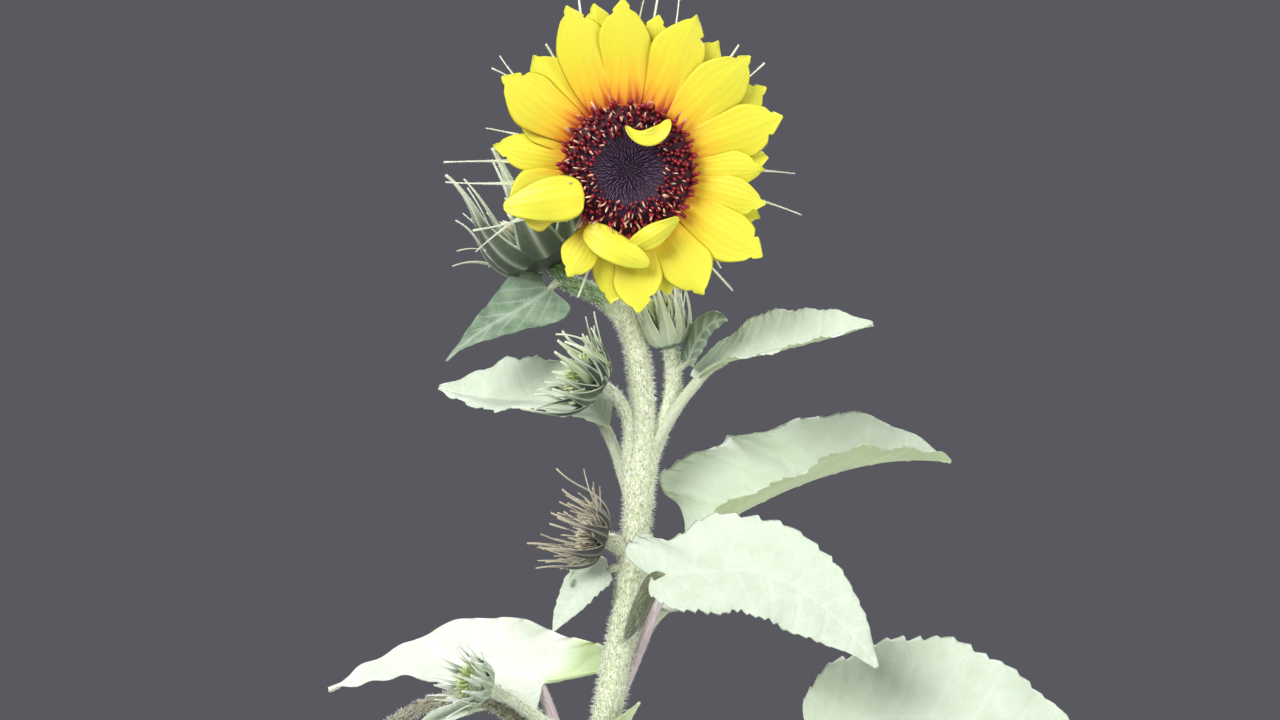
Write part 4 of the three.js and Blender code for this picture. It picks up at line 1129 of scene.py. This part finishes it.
def ray_whorl(name, rays, level, loose, node):
    """One whorl: a thin ring on the cup's rim, with its petals fused on by their feet, and loose petals.
    A petal is pleated along its length, waves towards its tip and has a nick in each side near it."""
    heap = Heap()
    inner, outer, depth, sides = (RAY_RING[key] for key in ("inner", "outer", "depth", "sides"))
    angle = turns(sides)
    circle = np.stack([np.cos(angle), np.sin(angle), 0 * angle], -1)
    section = np.array([(outer, 0), (outer, depth), (inner, depth), (inner, 0)])
    ring = circle[:, None] * section[:, :1] + np.array([0, 0, 1.0]) * (section[:, 1:] + level)
    points = in_flower(ring.reshape(-1, 3))
    faces = grid_faces(sides + 1, 4) % len(points)
    heap.add(points, [faces], np.zeros((len(points), 2)), along=np.zeros(len(points)), tint=0.5)
    for i, (angle, reach, half_width, lean, tip_lean) in enumerate(rays):
        bearing = np.radians(angle)
        foot = (RAY["foot"] * np.cos(bearing), RAY["foot"] * np.sin(bearing), level + depth / 2)
        stretch = (reach - RAY["foot"]) / 2
        line = GrowingLine(foot, angle, [0, lean, tip_lean], [stretch, stretch])

        def relief(t, v, width, total, i=i):
            pleats = 0.1 * np.cos(2 * np.pi * 3.5 * v) * np.sin(np.pi * t) ** 0.5
            wave = 0.9 * np.abs(v) ** 2 * np.sin(7 * t + 2.3 * i + np.sign(v)) * t
            ripple = 0.5 * np.sin(5 * t + 1.9 * i) * v * t
            return wave + ripple, pleats, -pleats

        def reach_at(t, v, i=i):
            turn = (-1) ** i * np.sign(v)
            nick = 0.35 * np.exp(-(((t - 0.93 + 0.03 * np.sin(2.1 * i)) / 0.02) ** 2)) * (turn > 0)
            nick = nick + 0.3 * np.exp(-(((t - 0.85 + 0.04 * np.sin(3.7 * i)) / 0.02) ** 2)) * (turn < 0)
            return 1 - nick * np.abs(v) + 0.07 * np.sin(6 * t + 2 * i) * np.sign(v)

        points, faces, uv, spots, _ = blade(
            line, RAY["grid"], RAY["thickness"], lambda t, w=half_width: w * RAY["broad"] * ray_outline(t),
            relief, reach_at, fold=RAY["fold"], twist=RAY["twist"],
        )
        heap.add(in_flower(points), faces, uv, along=spots[:, 0], tint=1.0 if 50 < angle < 165 else 0.3)
    for foot, bearing, swing, rises, stretches, half_width, belly, roll, fold in loose:

        def rolled(t, v, width, total):
            pleats = 0.16 * np.cos(2 * np.pi * 2.5 * v) * np.sin(np.pi * t) ** 0.5
            return 0.8 * np.sin(9 * t) * v + 0.9 * np.sin(8 * t + v) * v**2, pleats, -pleats

        def broad(t, half_width=half_width, belly=belly):
            return half_width * (0.12 + np.sin(np.pi * np.clip(t, 0, 1) ** belly) ** 0.6)

        line = GrowingLine(foot, bearing, rises, stretches, swing)
        points, faces, uv, spots, _ = blade(line, LOOSE_GRID, 0.5, broad, rolled, fold=fold, roll=roll)
        heap.add(in_flower(points), faces, uv, along=0.36 + 0.64 * spots[:, 0] ** 0.5, tint=0.6)
    heap.piece(name, RAY_SKIN, "ray", [node])


back_level = GAP - CUP["front"]
front_level = back_level + RAY_RING["depth"] + GAP + 0.1
ray_whorl("rays_back", BACK_RAYS, back_level, [], "flower_rays_back")
ray_whorl("rays_front", FRONT_RAYS, front_level, LOOSE_PETALS, "flower_rays_front")


# The disc: a low dome with a dip in its middle, packed with florets in spirals. The inner ones are dark
# closed points; the outer ones are dark red tubes that open in pale curled tips.
DISC_SKIN = floret_skin("DiscSkin", [(0.0, (0.06, 0.004, 0.012)), (1.0, (0.012, 0.004, 0.02))], 0.7)
SCALE_SKIN = floret_skin(
    "ScaleSkin", [(0.0, (0.016, 0.002, 0.016)), (0.5, (0.04, 0.01, 0.05)), (1.0, (0.3, 0.19, 0.4))], 0.4
)
FLORET_SKIN = floret_skin(
    "FloretSkin",
    [(0.0, (0.08, 0.002, 0.014)), (0.45, (0.26, 0.006, 0.02)), (0.62, (0.36, 0.03, 0.035)),
     (0.8, (0.76, 0.44, 0.28)), (1.0, (0.94, 0.82, 0.56))],
    0.45,
)
FLORET_CURLS = ((10, 250), (-20, -260), (20, 190), (0, 60))
TUBE_TOP = 3.9
SCALE_SHAPE = strand([0, 10], [5], [0.34, 0.3, 0.2, 0.04], 4, 5)
SCALE_SPIRAL = dict(first=0.3, last=20, spacing=0.72)
FLORET_TUBE = strand([0, 6], [4.2], [0.55, 0.6, 0.75, 0.9, 0.7], 6, 6)
FLORET_SPIRAL = dict(first=16.5, last=31.3, spacing=1.28, jitter=0.03)
OUTERMOST = 28.5
# How far scales and florets lean out at distances from the axis.
SCALE_LEANS = ([0, 3, 20], [4, 40, 66])
FLORET_LEANS = ([16, 27, 31], [4, 26, 66])
radius, boss, rise = DISC["radius"], DISC["boss"], DISC["rise"]
disc_front = [
    (radius, 0.4), (radius - 0.5, 0.5 * rise), (0.8 * radius, 0.8 * rise), (0.53 * radius, 0.75 * rise),
    (0.28 * radius, 0.4 * rise), (0, 0.25 * rise),
]
disc_profile = [(0, back_level), (boss, back_level), (boss, 0.4), *disc_front]
points, faces, uv = turned(disc_profile, DISC_SIDES, in_flower)
far = np.linalg.norm((points - FLOWER_AT) @ flower_basis.T[:, :2], axis=1) / radius
disc = Heap()
disc.add(points, faces, uv, along=1 - far, tint=0.5)
disc.piece("disc_dome", DISC_SKIN, "disc", ["flower_disc"])
UP = np.array([0, 0, 1])


def on_disc(at, away):
    """Places on the disc's front."""
    radii, heights = np.array(disc_front[::-1]).T
    return at + np.interp(away, radii, heights)[:, None] * UP


scales = Heap()
at, bearing, away = spiral(**SCALE_SPIRAL)
sow(
    scales, SCALE_SHAPE, on_disc(at, away) - 0.6 * UP,
    bearing + 0.15 * random.normal(size=len(at)), np.radians(np.interp(away, *SCALE_LEANS)),
    random.uniform(0.8, 1.05, len(at)), random.uniform(0.1, 1, len(at)), in_flower,
)
scales.piece("disc_scales", SCALE_SKIN, "disc")

florets = Heap()
at, bearing, away = spiral(**FLORET_SPIRAL)
at = on_disc(at, away)
kinds = random.integers(0, len(FLORET_CURLS), len(at))
tube_points, tube_faces, tube_along = FLORET_TUBE
for kind, (first, last) in enumerate(FLORET_CURLS):
    chosen = kinds == kind
    out, count = away[chosen], chosen.sum()
    spot, turn = at[chosen] - UP, bearing[chosen] + 0.5 * random.normal(size=count)
    lean = np.radians(np.interp(out, *FLORET_LEANS) + 9 * random.normal(size=count))
    size = random.uniform(0.75, 1.15, count) * np.where(out > 29, 1.3, 1)
    tint = random.uniform(0.25, 1, count)
    sow(florets, (tube_points, tube_faces, 0.55 * tube_along), spot, turn, lean, size, tint, in_flower)
    # Open florets stand in clumps, more of them at the upper left and below, and hardly any at the rim.
    around = np.arctan2(spot[:, 1], spot[:, 0])
    sides = 0.3 * np.clip(np.cos(around - np.radians(145)), 0, 1) + 0.34 * np.clip(-np.sin(around), 0, 1)
    clumps = 0.16 + sides + 0.16 * np.sin(7 * around) * np.sin(0.9 * out)
    open_now = random.uniform(size=count) < np.where(out > OUTERMOST, 0.12, clumps)
    opened = (part[open_now] for part in (spot, turn, lean, size, tint))
    curl_points, curl_faces, curl_along = strand(
        [first * 0.2, first, last], [1.6, 3.6], [0.36, 0.44, 0.46, 0.4, 0.2], 5, 12
    )
    curled = (curl_points + TUBE_TOP * UP, curl_faces, 0.5 + 0.5 * curl_along)
    sow(florets, curled, *opened, in_flower)
florets.piece("disc_florets", FLORET_SKIN, "disc")


# The setting: a plain pale floor, three soft lights and a dim world round them.
# The camera stands level at the photograph's height and distance, with its angle of view.
CAMERA = dict(place=(0.052, -0.78, 0.975), lens=42.19, sensor=36)
WORLD_TINT = (0.1, 0.1, 0.115, 1)
FLOOR_TINT = (0.75, 0.75, 0.74, 1)
FLOOR_CORNERS = [(-2, -2, 0), (2, -2, 0), (2, 2, 0), (-2, 2, 0)]
# Each light has its place, the spot that it aims at, its size and its watts.
LIGHTS = {
    "key": ((-1.1, -1.4, 2.2), (0.05, 0, 1.0), 1.2, 58),
    "fill": ((1.5, -1.3, 1.2), (0.05, 0, 0.95), 1.6, 24),
    "rim": ((0.5, 1.3, 2.0), (0.05, 0, 1.0), 1.0, 40),
}
for name, (place, aim, size, watts) in LIGHTS.items():
    light = bpy.data.lights.new(name, "AREA")
    light.size, light.energy = size, watts
    lamp = linked(name, light)
    lamp.location = place
    lamp.rotation_mode = "QUATERNION"
    lamp.rotation_quaternion = (Vector(aim) - Vector(place)).to_track_quat("-Z", "Y")
scene = bpy.context.scene
scene.world = bpy.data.worlds.new("Soft")
scene.world.use_nodes = True
scene.world.node_tree.nodes["Background"].inputs[0].default_value = WORLD_TINT
scene.view_settings.view_transform = "Standard"

floor_mesh = bpy.data.meshes.new("floor")
floor_mesh.from_pydata(FLOOR_CORNERS, [], [(0, 1, 2, 3)])
floor = linked("floor", floor_mesh)
pale, pale_tree = new_skin("PaleFloor", 0.8)
pale_tree.nodes["Principled BSDF"].inputs["Base Color"].default_value = FLOOR_TINT
floor_mesh.materials.append(pale)

camera_data = bpy.data.cameras.new("camera")
camera_data.lens, camera_data.sensor_width = CAMERA["lens"], CAMERA["sensor"]
scene.camera = linked("camera", camera_data)
scene.camera.location = CAMERA["place"]
scene.camera.rotation_euler = (np.pi / 2, 0, 0)
